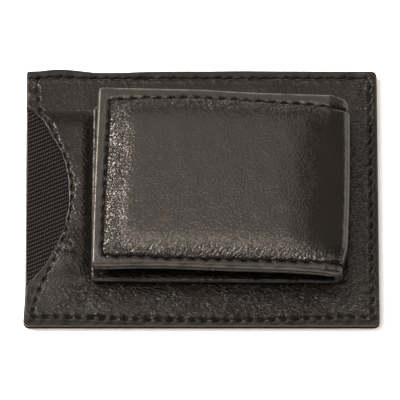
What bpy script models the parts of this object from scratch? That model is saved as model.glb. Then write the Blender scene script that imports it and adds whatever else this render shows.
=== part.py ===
# Front-pocket wallet with a folded leather money clip, lying on its front with the clip upward.
# Metres, +Z up through the thickness, +X along the width towards the clip's fold,
# origin under the middle of the sewn stack.

import math

import bmesh
import bpy

# Sewn body
BODY_WIDTH = 0.1016
BODY_HEIGHT = 0.0775
CORNER_RADIUS = 0.0014

# Layers of the body, and the room between them
REAR_LEATHER = 0.0006
LINING_CLOTH = 0.0002
TWILL_WALL = 0.0004
FRONT_LEATHER = 0.0005
SLOT_LEATHER = 0.00045
LAYER_GAP = 0.0002
POCKET_GAP = 0.0003
LINING_INSET = 0.0004

# Card slots on the front, from the top edge down to each mouth
UPPER_MOUTH_DROP = 0.014
LOWER_MOUTH_DROP = 0.028

# Thumb notch in the left edge, an arc of one circle
NOTCH_RADIUS = 0.037
NOTCH_DEPTH = 0.0125
NOTCH_RISE = 0.0002

# Seams: thread that dips at each needle hole, in a channel pressed into the leather
THREAD_RADIUS = 0.0002
STITCH_LENGTH = 0.0033
STITCH_DIP = 0.00015
CHANNEL_DEPTH = 0.0004
EDGE_SEAM_INSET = 0.0018
NOTCH_SEAM_INSET = 0.0016
NOTCH_SEAM_EDGE_INSET = 0.0032
SEAM_END_INSET = 0.0006

# Money clip strap, folded once at its right end
STRAP_WIDTH = 0.0542
STRAP_RISE = 0.0004
BASE_LENGTH = 0.0679
FLAP_LENGTH = 0.0671
FOLD_MARGIN = 0.0082
BASE_THICKNESS = 0.003
NOTE_GAP = 0.0048
HEM_THICKNESS = 0.0042
STRAP_CORNER_RADIUS = 0.0009
STRAP_LEATHER = 0.0009
BASE_LEATHER = 0.0006
LINING_LEATHER = 0.0006
HEM_ROUND = 0.001
CLIP_SEAM_INSET = 0.0024
SEAT_GAP = 0.0003

# How far each leaf lies turned in the plane of the wallet
BASE_TURN = math.radians(-0.4)
FLAP_TURN = math.radians(-1.7)

# Padding, board and magnets inside each leaf
PAD_INSET = 0.0042
PAD_FOLD_INSET = 0.0035
PAD_CROWN = 0.0018
BOARD_THICKNESS = 0.0012
MAGNET_RADIUS = 0.008
MAGNET_END_INSET = 0.0211
MAGNET_SPACING = 0.024

# The hinge axis stands out from the fold's middle by this share of the leather's mean bend radius,
# which keeps the leather's length as the leaf swings
AXIS_REACH_SHARE = 1.2

# Shape of the pad's crown: where its grid lines fall across each half, and how square it is
CROWN_LINE_SHARES = (-1, -0.88, -0.68, -0.36, 0, 0.36, 0.68, 0.88, 1)
CROWN_POWER = 3
CROWN_EDGE_SHARES = (0.12, 0.45, 1)

CUT_OVERRUN = 0.001
CORNER_STEPS = 4
NOTCH_STEPS = 24
FOLD_STEPS = 16
THREAD_RESOLUTION = 0
CHANNEL_RESOLUTION = 2
MAGNET_SIDES = 32

# Edges that turn more sharply than this stay crisp in the shading
CREASE_ANGLE = math.radians(50)

# Points nearer than this share of a layer's gap are one point, and a stitch mark nearer to a path's
# own point than its share of the marks' spacing is left out
WELD_SHARE = 0.01
MARK_MARGIN_SHARE = 0.25

# Heights of the body's layers, from the front leather that it lies on
SLOT_LOWER_Z = 0.0
SLOT_UPPER_Z = SLOT_LOWER_Z + SLOT_LEATHER + LAYER_GAP
FRONT_Z = SLOT_UPPER_Z + SLOT_LEATHER + LAYER_GAP
TWILL_Z = FRONT_Z + FRONT_LEATHER + LAYER_GAP
LINING_Z = TWILL_Z + TWILL_WALL + POCKET_GAP
REAR_Z = LINING_Z + LINING_CLOTH + LAYER_GAP
REAR_TOP = REAR_Z + REAR_LEATHER

LEFT, RIGHT = -BODY_WIDTH / 2, BODY_WIDTH / 2
BOTTOM, TOP = -BODY_HEIGHT / 2, BODY_HEIGHT / 2
NOTCH_X = LEFT + NOTCH_DEPTH - NOTCH_RADIUS
EDGE_SEAM_Y = TOP - EDGE_SEAM_INSET

# Fold of the strap
FOLD_RADIUS = (BASE_THICKNESS + NOTE_GAP + HEM_THICKNESS) / 2
BASE_Z = REAR_TOP + SEAT_GAP
FOLD_X = RIGHT - FOLD_MARGIN - FOLD_RADIUS
FOLD_Z = BASE_Z + FOLD_RADIUS
FLAP_RISE = BASE_THICKNESS + NOTE_GAP - FOLD_RADIUS
FOLD_TURN = (BASE_TURN + FLAP_TURN) / 2
AXIS_REACH = AXIS_REACH_SHARE * (FOLD_RADIUS + NOTE_GAP / 2) / 2
LEAF_TURN = (FLAP_TURN - BASE_TURN) / 2
LEAF_END = -(SEAT_GAP + STRAP_WIDTH / 2 * abs(math.tan(LEAF_TURN)))

HALF_STRAP = STRAP_WIDTH / 2
HALF_PAD = HALF_STRAP - PAD_INSET
PAD_END = LEAF_END - PAD_FOLD_INSET

# The magnets of both leaves face each other, so the shorter leaf's free end sets their distance
# from the fold
MAGNET_REACH = min(BASE_LENGTH, FLAP_LENGTH) - MAGNET_END_INSET

# Thread in its channel, and the heights of what the upper leaf holds
CHANNEL_RADIUS = THREAD_RADIUS + STITCH_DIP + LAYER_GAP
THREAD_RISE = CHANNEL_RADIUS - CHANNEL_DEPTH
CORE_Z = LINING_LEATHER + LAYER_GAP
PAD_Z = CORE_Z + BOARD_THICKNESS + LAYER_GAP


for leftover in list(bpy.data.objects):
    bpy.data.objects.remove(leftover)

parts = bpy.data.collections.new("money_clip_wallet")
cutters = bpy.data.collections.new("cutters")
bpy.context.scene.collection.children.link(parts)
bpy.context.scene.collection.children.link(cutters)


def finish(name, colour, roughness, metallic=0.0):
    material = bpy.data.materials.new(name)
    material.use_nodes = True
    shader = material.node_tree.nodes["Principled BSDF"]
    shader.inputs["Base Color"].default_value = (*colour, 1)
    shader.inputs["Roughness"].default_value = roughness
    shader.inputs["Metallic"].default_value = metallic
    return material


nappa = finish("dark brown nappa", (0.045, 0.038, 0.034), 0.42)
padded_nappa = finish("dark brown padded nappa", (0.055, 0.046, 0.041), 0.38)
lining_leather = finish("near black lining leather", (0.012, 0.011, 0.010), 0.5)
lining_cloth = finish("black lining cloth", (0.012, 0.011, 0.011), 0.85)
twill = finish("dark brown twill", (0.026, 0.020, 0.020), 0.85)
thread = finish("black sewing thread", (0.006, 0.005, 0.005), 0.6)
board = finish("grey fibre board", (0.16, 0.15, 0.14), 0.9)
foam = finish("black foam", (0.02, 0.02, 0.02), 0.95)
plated_magnet = finish("nickel plated magnet", (0.55, 0.53, 0.50), 0.3, 1.0)


def frame_empty(name, location, turn, parent=None):
    empty = bpy.data.objects.new(name, None)
    empty.location = location
    empty.rotation_euler.z = turn
    empty.parent = parent
    parts.objects.link(empty)
    return empty


def place(name, data, material, parent=None):
    piece = bpy.data.objects.new(name, data)
    piece.parent = parent
    data.materials.append(material)
    parts.objects.link(piece)
    return piece


def make_cutter(piece):
    piece.hide_render = True
    piece.display_type = "WIRE"
    parts.objects.unlink(piece)
    cutters.objects.link(piece)
    return piece


def to_mesh(curve):
    # The curve's solid as a mesh with its caps welded, in the curve's place
    bpy.context.view_layer.update()
    graph = bpy.context.evaluated_depsgraph_get()
    mesh = bpy.data.meshes.new_from_object(curve.evaluated_get(graph))
    shape = bmesh.new()
    shape.from_mesh(mesh)
    bmesh.ops.remove_doubles(shape, verts=shape.verts, dist=LAYER_GAP * WELD_SHARE)
    shape.to_mesh(mesh)
    shape.free()
    name, parent, matrix = curve.name, curve.parent, curve.matrix_world.copy()
    material = curve.data.materials[0]
    bpy.data.objects.remove(curve)
    mesh.materials.clear()
    piece = place(name, mesh, material, parent)
    piece.matrix_world = matrix
    return piece


def cut(piece, cutter):
    difference = piece.modifiers.new(cutter.name, "BOOLEAN")
    difference.operation = "DIFFERENCE"
    difference.solver = "EXACT"
    difference.object = cutter


def arc(centre_x, centre_y, radius, start, end, steps):
    sweep = (end - start) / steps
    angles = [start + sweep * step for step in range(steps + 1)]
    return [(centre_x + radius * math.cos(a), centre_y + radius * math.sin(a)) for a in angles]


def rounded_outline(left, right, bottom, top, radius):
    # Counter-clockwise from the bottom right corner
    quarter = math.pi / 2
    corners = (
        (right - radius, bottom + radius, -quarter),
        (right - radius, top - radius, 0),
        (left + radius, top - radius, quarter),
        (left + radius, bottom + radius, math.pi),
    )
    points = []
    for x, y, start in corners:
        points += arc(x, y, radius, start, start + quarter, CORNER_STEPS)
    return points


def notched_outline(inset):
    # The body's outline drawn in by the inset, with the thumb notch in its left edge
    outline = rounded_outline(LEFT + inset, RIGHT - inset, BOTTOM + inset, TOP - inset, CORNER_RADIUS)
    radius = NOTCH_RADIUS + inset
    reach = math.acos((LEFT + inset - NOTCH_X) / radius)
    notch = arc(NOTCH_X, NOTCH_RISE, radius, reach, -reach, NOTCH_STEPS)
    bottom_left = CORNER_STEPS + 1
    return outline[:-bottom_left] + notch + outline[-bottom_left:]


def flat_piece(name, outlines, low, thickness, material, parent=None):
    # The first outline is the edge and any others are holes in it
    curve = bpy.data.curves.new(name, "CURVE")
    curve.dimensions = "2D"
    curve.fill_mode = "BOTH"
    curve.extrude = thickness / 2
    for outline in outlines:
        spline = curve.splines.new("POLY")
        spline.points.add(len(outline) - 1)
        for point, (x, y) in zip(spline.points, outline):
            point.co = (x, y, 0, 1)
        spline.use_cyclic_u = True
    piece = place(name, curve, material, parent)
    piece.location.z = low + thickness / 2
    return piece


def tube(name, points, radius, resolution, material, parent=None):
    curve = bpy.data.curves.new(name, "CURVE")
    curve.dimensions = "3D"
    curve.bevel_depth = radius
    curve.bevel_resolution = resolution
    curve.use_fill_caps = True
    spline = curve.splines.new("POLY")
    spline.points.add(len(points) - 1)
    for point, (x, y, z) in zip(spline.points, points):
        point.co = (x, y, z, 1)
    return place(name, curve, material, parent)


def along(path, step):
    # The path's own points and one at each step, with the distance of each from the start
    marks = []
    travelled = 0.0
    margin = step * MARK_MARGIN_SHARE
    for (x0, y0), (x1, y1) in zip(path, path[1:]):
        run = math.hypot(x1 - x0, y1 - y0)
        marks.append((travelled, x0, y0))
        mark = (math.floor(travelled / step) + 1) * step
        while mark < travelled + run - margin:
            if mark > travelled + margin:
                share = (mark - travelled) / run
                marks.append((mark, x0 + (x1 - x0) * share, y0 + (y1 - y0) * share))
            mark += step
        travelled += run
    marks.append((travelled, *path[-1]))
    return marks


def seam(name, path, surface, parent=None):
    # Thread that rises to the middle of each stitch and dips to its needle holes
    points = []
    for travelled, x, y in along(path, STITCH_LENGTH / 2):
        phase = 2 * math.pi * travelled / STITCH_LENGTH
        dip = STITCH_DIP * (1 + math.cos(phase)) / 2
        points.append((x, y, surface + THREAD_RISE - dip))
    return tube(name, points, THREAD_RADIUS, THREAD_RESOLUTION, thread, parent)


def channel(name, piece, path, surface):
    points = [(x, y, surface + THREAD_RISE) for x, y in path]
    cutter = tube(name, points, CHANNEL_RADIUS, CHANNEL_RESOLUTION, thread, piece.parent)
    cut(piece, make_cutter(to_mesh(cutter)))


def run_on(path, length):
    # The path lengthened straight on at both ends
    (x0, y0), (x1, y1) = path[:2]
    (x2, y2), (x3, y3) = path[-2:]
    first = length / math.hypot(x1 - x0, y1 - y0)
    last = length / math.hypot(x3 - x2, y3 - y2)
    start = (x0 + (x0 - x1) * first, y0 + (y0 - y1) * first)
    end = (x3 + (x3 - x2) * last, y3 + (y3 - y2) * last)
    return [start, *path, end]


def edge_seam_path():
    # Along the top from the left edge, round the right corners, and back along the bottom
    right = RIGHT - EDGE_SEAM_INSET
    start = LEFT + SEAM_END_INSET
    quarter = math.pi / 2
    turn_x, turn_y = right - CORNER_RADIUS, EDGE_SEAM_Y - CORNER_RADIUS
    upper = arc(turn_x, turn_y, CORNER_RADIUS, quarter, 0, CORNER_STEPS)
    lower = arc(turn_x, -turn_y, CORNER_RADIUS, 0, -quarter, CORNER_STEPS)
    return [(start, EDGE_SEAM_Y), *upper, *lower, (start, -EDGE_SEAM_Y)]


def notch_seam_path():
    # Down the left edge, round the notch, and on down to just short of the bottom seam
    edge_x = LEFT + NOTCH_SEAM_EDGE_INSET
    radius = NOTCH_RADIUS + NOTCH_SEAM_INSET
    reach = math.acos((edge_x - NOTCH_X) / radius)
    end_y = EDGE_SEAM_Y - 2 * THREAD_RADIUS - LAYER_GAP
    notch = arc(NOTCH_X, NOTCH_RISE, radius, reach, -reach, NOTCH_STEPS)
    return [(edge_x, end_y), *notch, (edge_x, -end_y)]


def clip_seam_path(length):
    # Along the leaf's top edge from the fold, down its free end, and back along the bottom edge
    left = CLIP_SEAM_INSET - length
    side = HALF_STRAP - CLIP_SEAM_INSET
    fold_end = LEAF_END - SEAM_END_INSET
    radius = STRAP_CORNER_RADIUS
    quarter = math.pi / 2
    upper = arc(left + radius, side - radius, radius, quarter, math.pi, CORNER_STEPS)
    lower = arc(left + radius, radius - side, radius, math.pi, math.pi + quarter, CORNER_STEPS)
    return [(fold_end, side), *upper, *lower, (fold_end, -side)]


def leaf_outline(length, inset=0.0, fold_end=LEAF_END):
    half = HALF_STRAP - inset
    return rounded_outline(inset - length, fold_end, -half, half, STRAP_CORNER_RADIUS)


def crown(x, y):
    # Height of the pad's crown over the hem, in the upper leaf's own frame
    pad_start = PAD_INSET - FLAP_LENGTH
    half = (PAD_END - pad_start) / 2
    along_share = abs(x - pad_start - half) / half
    across_share = abs(y) / HALF_PAD
    if along_share >= 1 or across_share >= 1:
        return 0.0
    return PAD_CROWN * (1 - along_share**CROWN_POWER) * (1 - across_share**CROWN_POWER)


def eased_corner(x, y):
    # A point near one of the free end's square corners, drawn in to the leaf's rounded corner
    centre_x = STRAP_CORNER_RADIUS - FLAP_LENGTH
    centre_y = math.copysign(HALF_STRAP - STRAP_CORNER_RADIUS, y)
    out_x, out_y = centre_x - x, abs(y) - abs(centre_y)
    if out_x <= 0 or out_y <= 0:
        return x, y
    draw = max(out_x, out_y) / math.hypot(out_x, out_y)
    return centre_x - out_x * draw, centre_y + math.copysign(out_y * draw, y)


def pad_lines(low, high):
    middle, half = (low + high) / 2, (high - low) / 2
    return [middle + half * share for share in CROWN_LINE_SHARES]


def crowned_solid(name, x_lines, y_lines, top, low, material, parent):
    # A grid on the given lines, lifted to the top surface and closed down to a flat underside
    mesh = bpy.data.meshes.new(name)
    shape = bmesh.new()
    columns, rows = len(x_lines) - 1, len(y_lines) - 1
    bmesh.ops.create_grid(shape, x_segments=columns, y_segments=rows, size=1)
    for vertex in shape.verts:
        x = x_lines[round((vertex.co.x + 1) / 2 * columns)]
        y = y_lines[round((vertex.co.y + 1) / 2 * rows)]
        vertex.co = (*eased_corner(x, y), top(x, y))
    under = bmesh.ops.extrude_face_region(shape, geom=shape.faces[:])["geom"]
    for vertex in [item for item in under if isinstance(item, bmesh.types.BMVert)]:
        vertex.co.z = low
    under_faces = [item for item in under if isinstance(item, bmesh.types.BMFace)]
    bmesh.ops.dissolve_faces(shape, faces=under_faces)
    bmesh.ops.recalc_face_normals(shape, faces=shape.faces[:])
    shape.to_mesh(mesh)
    shape.free()
    mesh.shade_smooth()
    mesh.set_sharp_from_angle(angle=CREASE_ANGLE)
    return place(name, mesh, material, parent)


def hem_drop(distance):
    # How far the rounded edge lies below the hem, at a distance in from the edge
    if distance >= HEM_ROUND:
        return 0.0
    return HEM_ROUND - math.sqrt(HEM_ROUND**2 - (HEM_ROUND - distance) ** 2)


def flap_top(x, y):
    distance = min(x + FLAP_LENGTH, HALF_STRAP - abs(y))
    return HEM_THICKNESS - hem_drop(distance) + crown(x, y)


def pad_room_top(x, y):
    return HEM_THICKNESS - STRAP_LEATHER + crown(x, y)


def pad_top(x, y):
    return pad_room_top(x, y) - LAYER_GAP


def magnet_places(side):
    return (-MAGNET_REACH, side * MAGNET_SPACING / 2)


def magnet_board(name, length, low, parent):
    holes = []
    for side in (1, -1):
        x, y = magnet_places(side)
        hole = arc(x, y, MAGNET_RADIUS + LAYER_GAP, 0, 2 * math.pi, MAGNET_SIDES)
        holes.append(hole[:-1])
    outline = leaf_outline(length, PAD_INSET, PAD_END)
    flat_piece(name, [outline, *holes], low, BOARD_THICKNESS, board, parent)


def magnet(name, side, low, parent):
    mesh = bpy.data.meshes.new(name)
    shape = bmesh.new()
    bmesh.ops.create_cone(
        shape,
        cap_ends=True,
        segments=MAGNET_SIDES,
        radius1=MAGNET_RADIUS,
        radius2=MAGNET_RADIUS,
        depth=BOARD_THICKNESS,
    )
    shape.to_mesh(mesh)
    shape.free()
    disc = place(name, mesh, plated_magnet, parent)
    disc.location = (*magnet_places(side), low + BOARD_THICKNESS / 2)


def fold_band(name, radius, thickness, centre_z, material, parent):
    # Leather bent round half a turn, open towards the leaves
    quarter = math.pi / 2
    outer = arc(0, centre_z, radius, -quarter, quarter, FOLD_STEPS)
    inner = arc(0, centre_z, radius - thickness, quarter, -quarter, FOLD_STEPS)
    band = flat_piece(name, [outer + inner], -HALF_STRAP, STRAP_WIDTH, material, parent)
    band.rotation_euler.x = quarter
    band.location = (0, 0, 0)


def body():
    outline = rounded_outline(LEFT, RIGHT, BOTTOM, TOP, CORNER_RADIUS)
    lower_slot = rounded_outline(LEFT, RIGHT, BOTTOM, TOP - LOWER_MOUTH_DROP, CORNER_RADIUS)
    upper_slot = rounded_outline(LEFT, RIGHT, BOTTOM, TOP - UPPER_MOUTH_DROP, CORNER_RADIUS)
    flat_piece("front_slot_lower", [lower_slot], SLOT_LOWER_Z, SLOT_LEATHER, nappa)
    flat_piece("front_slot_upper", [upper_slot], SLOT_UPPER_Z, SLOT_LEATHER, nappa)
    flat_piece("front_panel", [outline], FRONT_Z, FRONT_LEATHER, nappa)
    wall = rounded_outline(
        LEFT + LINING_INSET, RIGHT - LINING_INSET, BOTTOM + LINING_INSET, TOP - LINING_INSET, CORNER_RADIUS
    )
    flat_piece("card_pocket_wall", [wall], TWILL_Z, TWILL_WALL, twill)
    cloth = notched_outline(LINING_INSET)
    flat_piece("rear_panel_lining", [cloth], LINING_Z, LINING_CLOTH, lining_cloth)
    rear = to_mesh(flat_piece("rear_panel", [notched_outline(0.0)], REAR_Z, REAR_LEATHER, nappa))

    edge_path = edge_seam_path()
    notch_path = notch_seam_path()
    channel("perimeter_channel", rear, run_on(edge_path, CUT_OVERRUN), REAR_TOP)
    channel("notch_channel", rear, notch_path, REAR_TOP)
    seam("perimeter_seam", edge_path, REAR_TOP)
    seam("notch_seam", notch_path, REAR_TOP)


def clip_base():
    frame = frame_empty("clip_base_frame", (FOLD_X, STRAP_RISE, BASE_Z), BASE_TURN)
    outline = leaf_outline(BASE_LENGTH)
    lining_z = BASE_THICKNESS - LINING_LEATHER
    tray_height = lining_z - LAYER_GAP
    tray = to_mesh(flat_piece("clip_base_outer", [outline], 0, tray_height, nappa, frame))
    room = leaf_outline(BASE_LENGTH, PAD_INSET - LAYER_GAP, PAD_END + LAYER_GAP)
    room_cutter = flat_piece("clip_base_room", [room], BASE_LEATHER, BASE_THICKNESS, nappa, frame)
    cut(tray, make_cutter(to_mesh(room_cutter)))
    core_z = BASE_LEATHER + LAYER_GAP
    magnet_board("clip_base_board", BASE_LENGTH, core_z, frame)
    magnet("clip_base_magnet_upper", 1, core_z, frame)
    magnet("clip_base_magnet_lower", -1, core_z, frame)
    lining_piece = flat_piece("clip_base_lining", [outline], lining_z, LINING_LEATHER, lining_leather, frame)
    lining = to_mesh(lining_piece)
    path = clip_seam_path(BASE_LENGTH)
    channel("clip_base_channel", lining, run_on(path, CUT_OVERRUN), BASE_THICKNESS)
    seam("clip_base_seam", path, BASE_THICKNESS, frame)


def clip_fold():
    frame = frame_empty("clip_fold_frame", (FOLD_X, STRAP_RISE, FOLD_Z), FOLD_TURN)
    fold_band("clip_fold_outer", FOLD_RADIUS, STRAP_LEATHER, 0, padded_nappa, frame)
    note_middle = BASE_THICKNESS + NOTE_GAP / 2 - FOLD_RADIUS
    inner_radius = NOTE_GAP / 2 + LINING_LEATHER
    fold_band("clip_fold_inner", inner_radius, LINING_LEATHER, note_middle, lining_leather, frame)


def clip_flap():
    # The upper leaf swings on an empty that stands on the hinge axis
    hinge_x = FOLD_X + AXIS_REACH * math.cos(FOLD_TURN)
    hinge_y = STRAP_RISE + AXIS_REACH * math.sin(FOLD_TURN)
    hinge = frame_empty("clip_hinge", (hinge_x, hinge_y, FOLD_Z), FOLD_TURN)
    frame = frame_empty("clip_flap_frame", (-AXIS_REACH, 0, FLAP_RISE), LEAF_TURN, hinge)

    flat_piece("clip_flap_lining", [leaf_outline(FLAP_LENGTH)], 0, LINING_LEATHER, lining_leather, frame)
    magnet_board("clip_flap_board", FLAP_LENGTH, CORE_Z, frame)
    magnet("clip_flap_magnet_upper", 1, CORE_Z, frame)
    magnet("clip_flap_magnet_lower", -1, CORE_Z, frame)

    pad_start = PAD_INSET - FLAP_LENGTH
    pad_x, pad_y = pad_lines(pad_start, PAD_END), pad_lines(-HALF_PAD, HALF_PAD)
    crowned_solid("clip_flap_pad", pad_x, pad_y, pad_top, PAD_Z, foam, frame)

    edge = [HEM_ROUND * share for share in CROWN_EDGE_SHARES]
    hem_x = [-FLAP_LENGTH] + [step - FLAP_LENGTH for step in edge]
    hem_y = [-HALF_STRAP] + [step - HALF_STRAP for step in edge]
    outer_y = hem_y + pad_y + [-y for y in reversed(hem_y)]
    outer = crowned_solid(
        "clip_flap_outer", [*hem_x, *pad_x, LEAF_END], outer_y, flap_top, CORE_Z, padded_nappa, frame
    )
    room_x = [pad_x[0] - LAYER_GAP, *pad_x[1:-1], pad_x[-1] + LAYER_GAP]
    room_y = [pad_y[0] - LAYER_GAP, *pad_y[1:-1], pad_y[-1] + LAYER_GAP]
    room = crowned_solid(
        "clip_flap_room", room_x, room_y, pad_room_top, CORE_Z - CUT_OVERRUN, foam, frame
    )
    cut(outer, make_cutter(room))
    path = clip_seam_path(FLAP_LENGTH)
    channel("clip_flap_channel", outer, run_on(path, CUT_OVERRUN), HEM_THICKNESS)
    seam("clip_flap_seam", path, HEM_THICKNESS, frame)


body()
clip_base()
clip_fold()
clip_flap()
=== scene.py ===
# A flat leather wallet with a folded, padded money clip, dressed over its CAD frame.
# Shapes are worked out in millimetres and turned to metres where each mesh is made.

import math

import bmesh
import bpy
import numpy as np
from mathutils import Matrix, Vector
from mathutils.bvhtree import BVHTree
from mathutils.kdtree import KDTree


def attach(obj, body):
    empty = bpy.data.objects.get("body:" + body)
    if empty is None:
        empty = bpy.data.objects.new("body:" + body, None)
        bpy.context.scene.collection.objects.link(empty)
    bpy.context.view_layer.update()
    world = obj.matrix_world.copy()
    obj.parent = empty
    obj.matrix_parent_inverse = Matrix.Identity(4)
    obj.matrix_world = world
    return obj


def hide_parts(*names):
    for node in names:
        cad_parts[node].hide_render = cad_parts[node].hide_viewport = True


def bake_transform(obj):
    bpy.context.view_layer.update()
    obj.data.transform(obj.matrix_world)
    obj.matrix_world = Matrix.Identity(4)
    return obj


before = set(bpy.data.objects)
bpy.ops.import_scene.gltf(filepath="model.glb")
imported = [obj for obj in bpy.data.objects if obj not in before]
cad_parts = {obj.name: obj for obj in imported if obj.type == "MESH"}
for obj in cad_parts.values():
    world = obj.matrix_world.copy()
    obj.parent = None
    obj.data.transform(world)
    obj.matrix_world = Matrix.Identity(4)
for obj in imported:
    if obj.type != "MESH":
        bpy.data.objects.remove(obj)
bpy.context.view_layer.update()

millimetre = 0.001
fullTurn = 2 * math.pi

# What the pieces share, in millimetres, as the CAD has it
body = {
    "width": 101.6,
    "height": 77.5,
    "corner": 1.4,
    "rearTop": 3.7,
}
strap = {
    "width": 54.2,
    "baseLength": 67.9,
    "flapLength": 67.1,
    "corner": 0.9,
    "pivot": (36.6, 0.4),
    "foldRadius": 6.0,
    "foldMiddle": 10.0,
    "baseThickness": 3.0,
    "flapThickness": 4.2,
    "baseWall": 2.15,  # how far down the outer leather comes at the edge
    "flapWall": 1.8,
    "baseTurn": math.radians(-0.4),
    "flapTurn": math.radians(-1.7),
}

bodyLeft, bodyRight = -body["width"] / 2, body["width"] / 2
bodyLow, bodyHigh = -body["height"] / 2, body["height"] / 2
halfStrap = strap["width"] / 2
foldStart = strap["baseLength"]
foldEnd = foldStart + math.pi * strap["foldRadius"]
strapLength = foldEnd + strap["flapLength"]


# Small helpers

def ease(value, low, high):
    # 0 up to low, 1 from high on, with a smooth turn between
    share = np.clip((value - low) / (high - low), 0, 1)
    return share * share * (3 - 2 * share)


def easeFrom(value, place, reach):
    # The same between two distances from a place
    return ease(value, place + reach[0], place + reach[1])


def mix(start, end, share):
    return start + (end - start) * share


def drift(x, y, span, seed, waves=7):
    # Slow even wandering, mostly between -1 and 1
    dice = np.random.default_rng(seed)
    total = 0.0
    for heading, phase, pace in dice.uniform((0, 0, 0.6), (fullTurn, fullTurn, 1.6), (waves, 3)):
        along = x * math.cos(heading) + y * math.sin(heading)
        total = total + np.sin(fullTurn * pace / span * along + phase)
    return total / math.sqrt(waves)


def bell(value, middle, width):
    # 1 at the middle, falling off evenly on both sides
    return np.exp(-(((value - middle) / width) ** 2))


def stations(length, fine, coarse, margin):
    # Places along a length, close together within the margin at each end
    near = np.linspace(0, margin, round(margin / fine) + 1)
    middle = np.linspace(margin, length - margin, round((length - 2 * margin) / coarse) + 1)
    return np.concatenate([near, middle[1:-1], length - near[::-1]])


def arcLengths(points):
    steps = np.linalg.norm(np.diff(points, axis=0), axis=1)
    return np.concatenate([[0], np.cumsum(steps)])


def smoothPath(points, step=0.1):
    # A curve through the points, worked out at 24 places on each span and given back in even steps
    points = np.array(points, float)
    padded = np.vstack([2 * points[0] - points[1], points, 2 * points[-1] - points[-2]])
    share = np.linspace(0, 1, 24, endpoint=False)[:, None]
    curve = []
    for p0, p1, p2, p3 in zip(padded, padded[1:], padded[2:], padded[3:]):
        bend = (2 * p0 - 5 * p1 + 4 * p2 - p3) * share**2 + (3 * p1 - 3 * p2 + p3 - p0) * share**3
        curve.append(p1 + ((p2 - p0) * share + bend) / 2)
    curve = np.vstack([*curve, points[-1]])
    run = arcLengths(curve)
    marks = np.linspace(0, run[-1], round(run[-1] / step) + 1)
    return np.column_stack([np.interp(marks, run, curve[:, 0]), np.interp(marks, run, curve[:, 1])])


def besidePath(u, v, path):
    # How far each point lies to the left of the nearest part of the path, and how far along that is
    tree = KDTree(len(path))
    for index, (x, y) in enumerate(path):
        tree.insert((x, y, 0), index)
    tree.balance()
    flat = np.column_stack([u.ravel(), v.ravel()])
    found = np.array([tree.find((x, y, 0))[1] for x, y in flat])
    heading = np.gradient(path, axis=0)
    heading /= np.linalg.norm(heading, axis=1)[:, None]
    gap = flat - path[found]
    side = np.sign(heading[found, 0] * gap[:, 1] - heading[found, 1] * gap[:, 0])
    away = side * np.linalg.norm(gap, axis=1)
    return away.reshape(u.shape), arcLengths(path)[found].reshape(u.shape)


def nearHole(away, travelled, look):
    # 1 at each needle hole of a seam, falling off round it in a puckered star of five points, which is
    # turned a little from one hole to the next
    which = travelled / look["stitch"]
    past = ((which + 0.5) % 1 - 0.5) * look["stitch"] * look["holeShare"]
    pucker = 1 + look["pucker"] * np.cos(5 * np.arctan2(past, away) + 1.9 * np.round(which))
    return bell(np.hypot(away, past), 0, look["holeWidth"] * pucker)


def overThread(away, travelled, look, width):
    # 1 along the thread of each stitch, which lies askew, falling off beside it and past its ends
    middle = (travelled / look["stitch"] % 1 - 0.5) * look["stitch"]
    past = np.maximum(np.abs(middle) - look["visible"] * look["stitch"] / 2, 0)
    arc = look["scallop"] * (1 - (2 * middle / look["stitch"]) ** 2)
    return bell(np.hypot(away - look["lean"] * middle - arc, past), 0, width)


def seamRelief(away, travelled, look):
    # Sewn leather: a channel under the thread, a dimple at each needle hole, and the leather swelling
    # beside it between the holes
    between = (1 - np.cos(fullTurn * travelled / look["stitch"])) / 2
    channel = -look["channel"] * overThread(away, travelled, look, look["channelWidth"])
    holes = -look["hole"] * nearHole(away, travelled, look)
    beside = bell(np.abs(away), look["swellAt"], look["swellWidth"])
    return channel + holes + look["swell"] * beside * mix(look["swellAtHole"], 1, between)


def roundedEdge(distance, radius):
    # How far a rounded edge or corner falls away, at a distance in from where it would end
    inward = np.clip(radius - distance, 0, radius)
    return radius - np.sqrt(radius**2 - inward**2)


def wornEdge(distance, look):
    # The same for an edge that wear has flattened to a slope, with a tight round at its foot
    slope = look["slope"] * np.clip(look["width"] - distance, 0, look["width"])
    return slope + roundedEdge(distance, look["round"])


# Sheets of leather and cloth

def perimeter(rows, columns):
    index = np.arange(rows * columns).reshape(rows, columns)
    return np.concatenate([index[0], index[1:, -1], index[-1, -2::-1], index[-2:0:-1, 0]])


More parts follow.
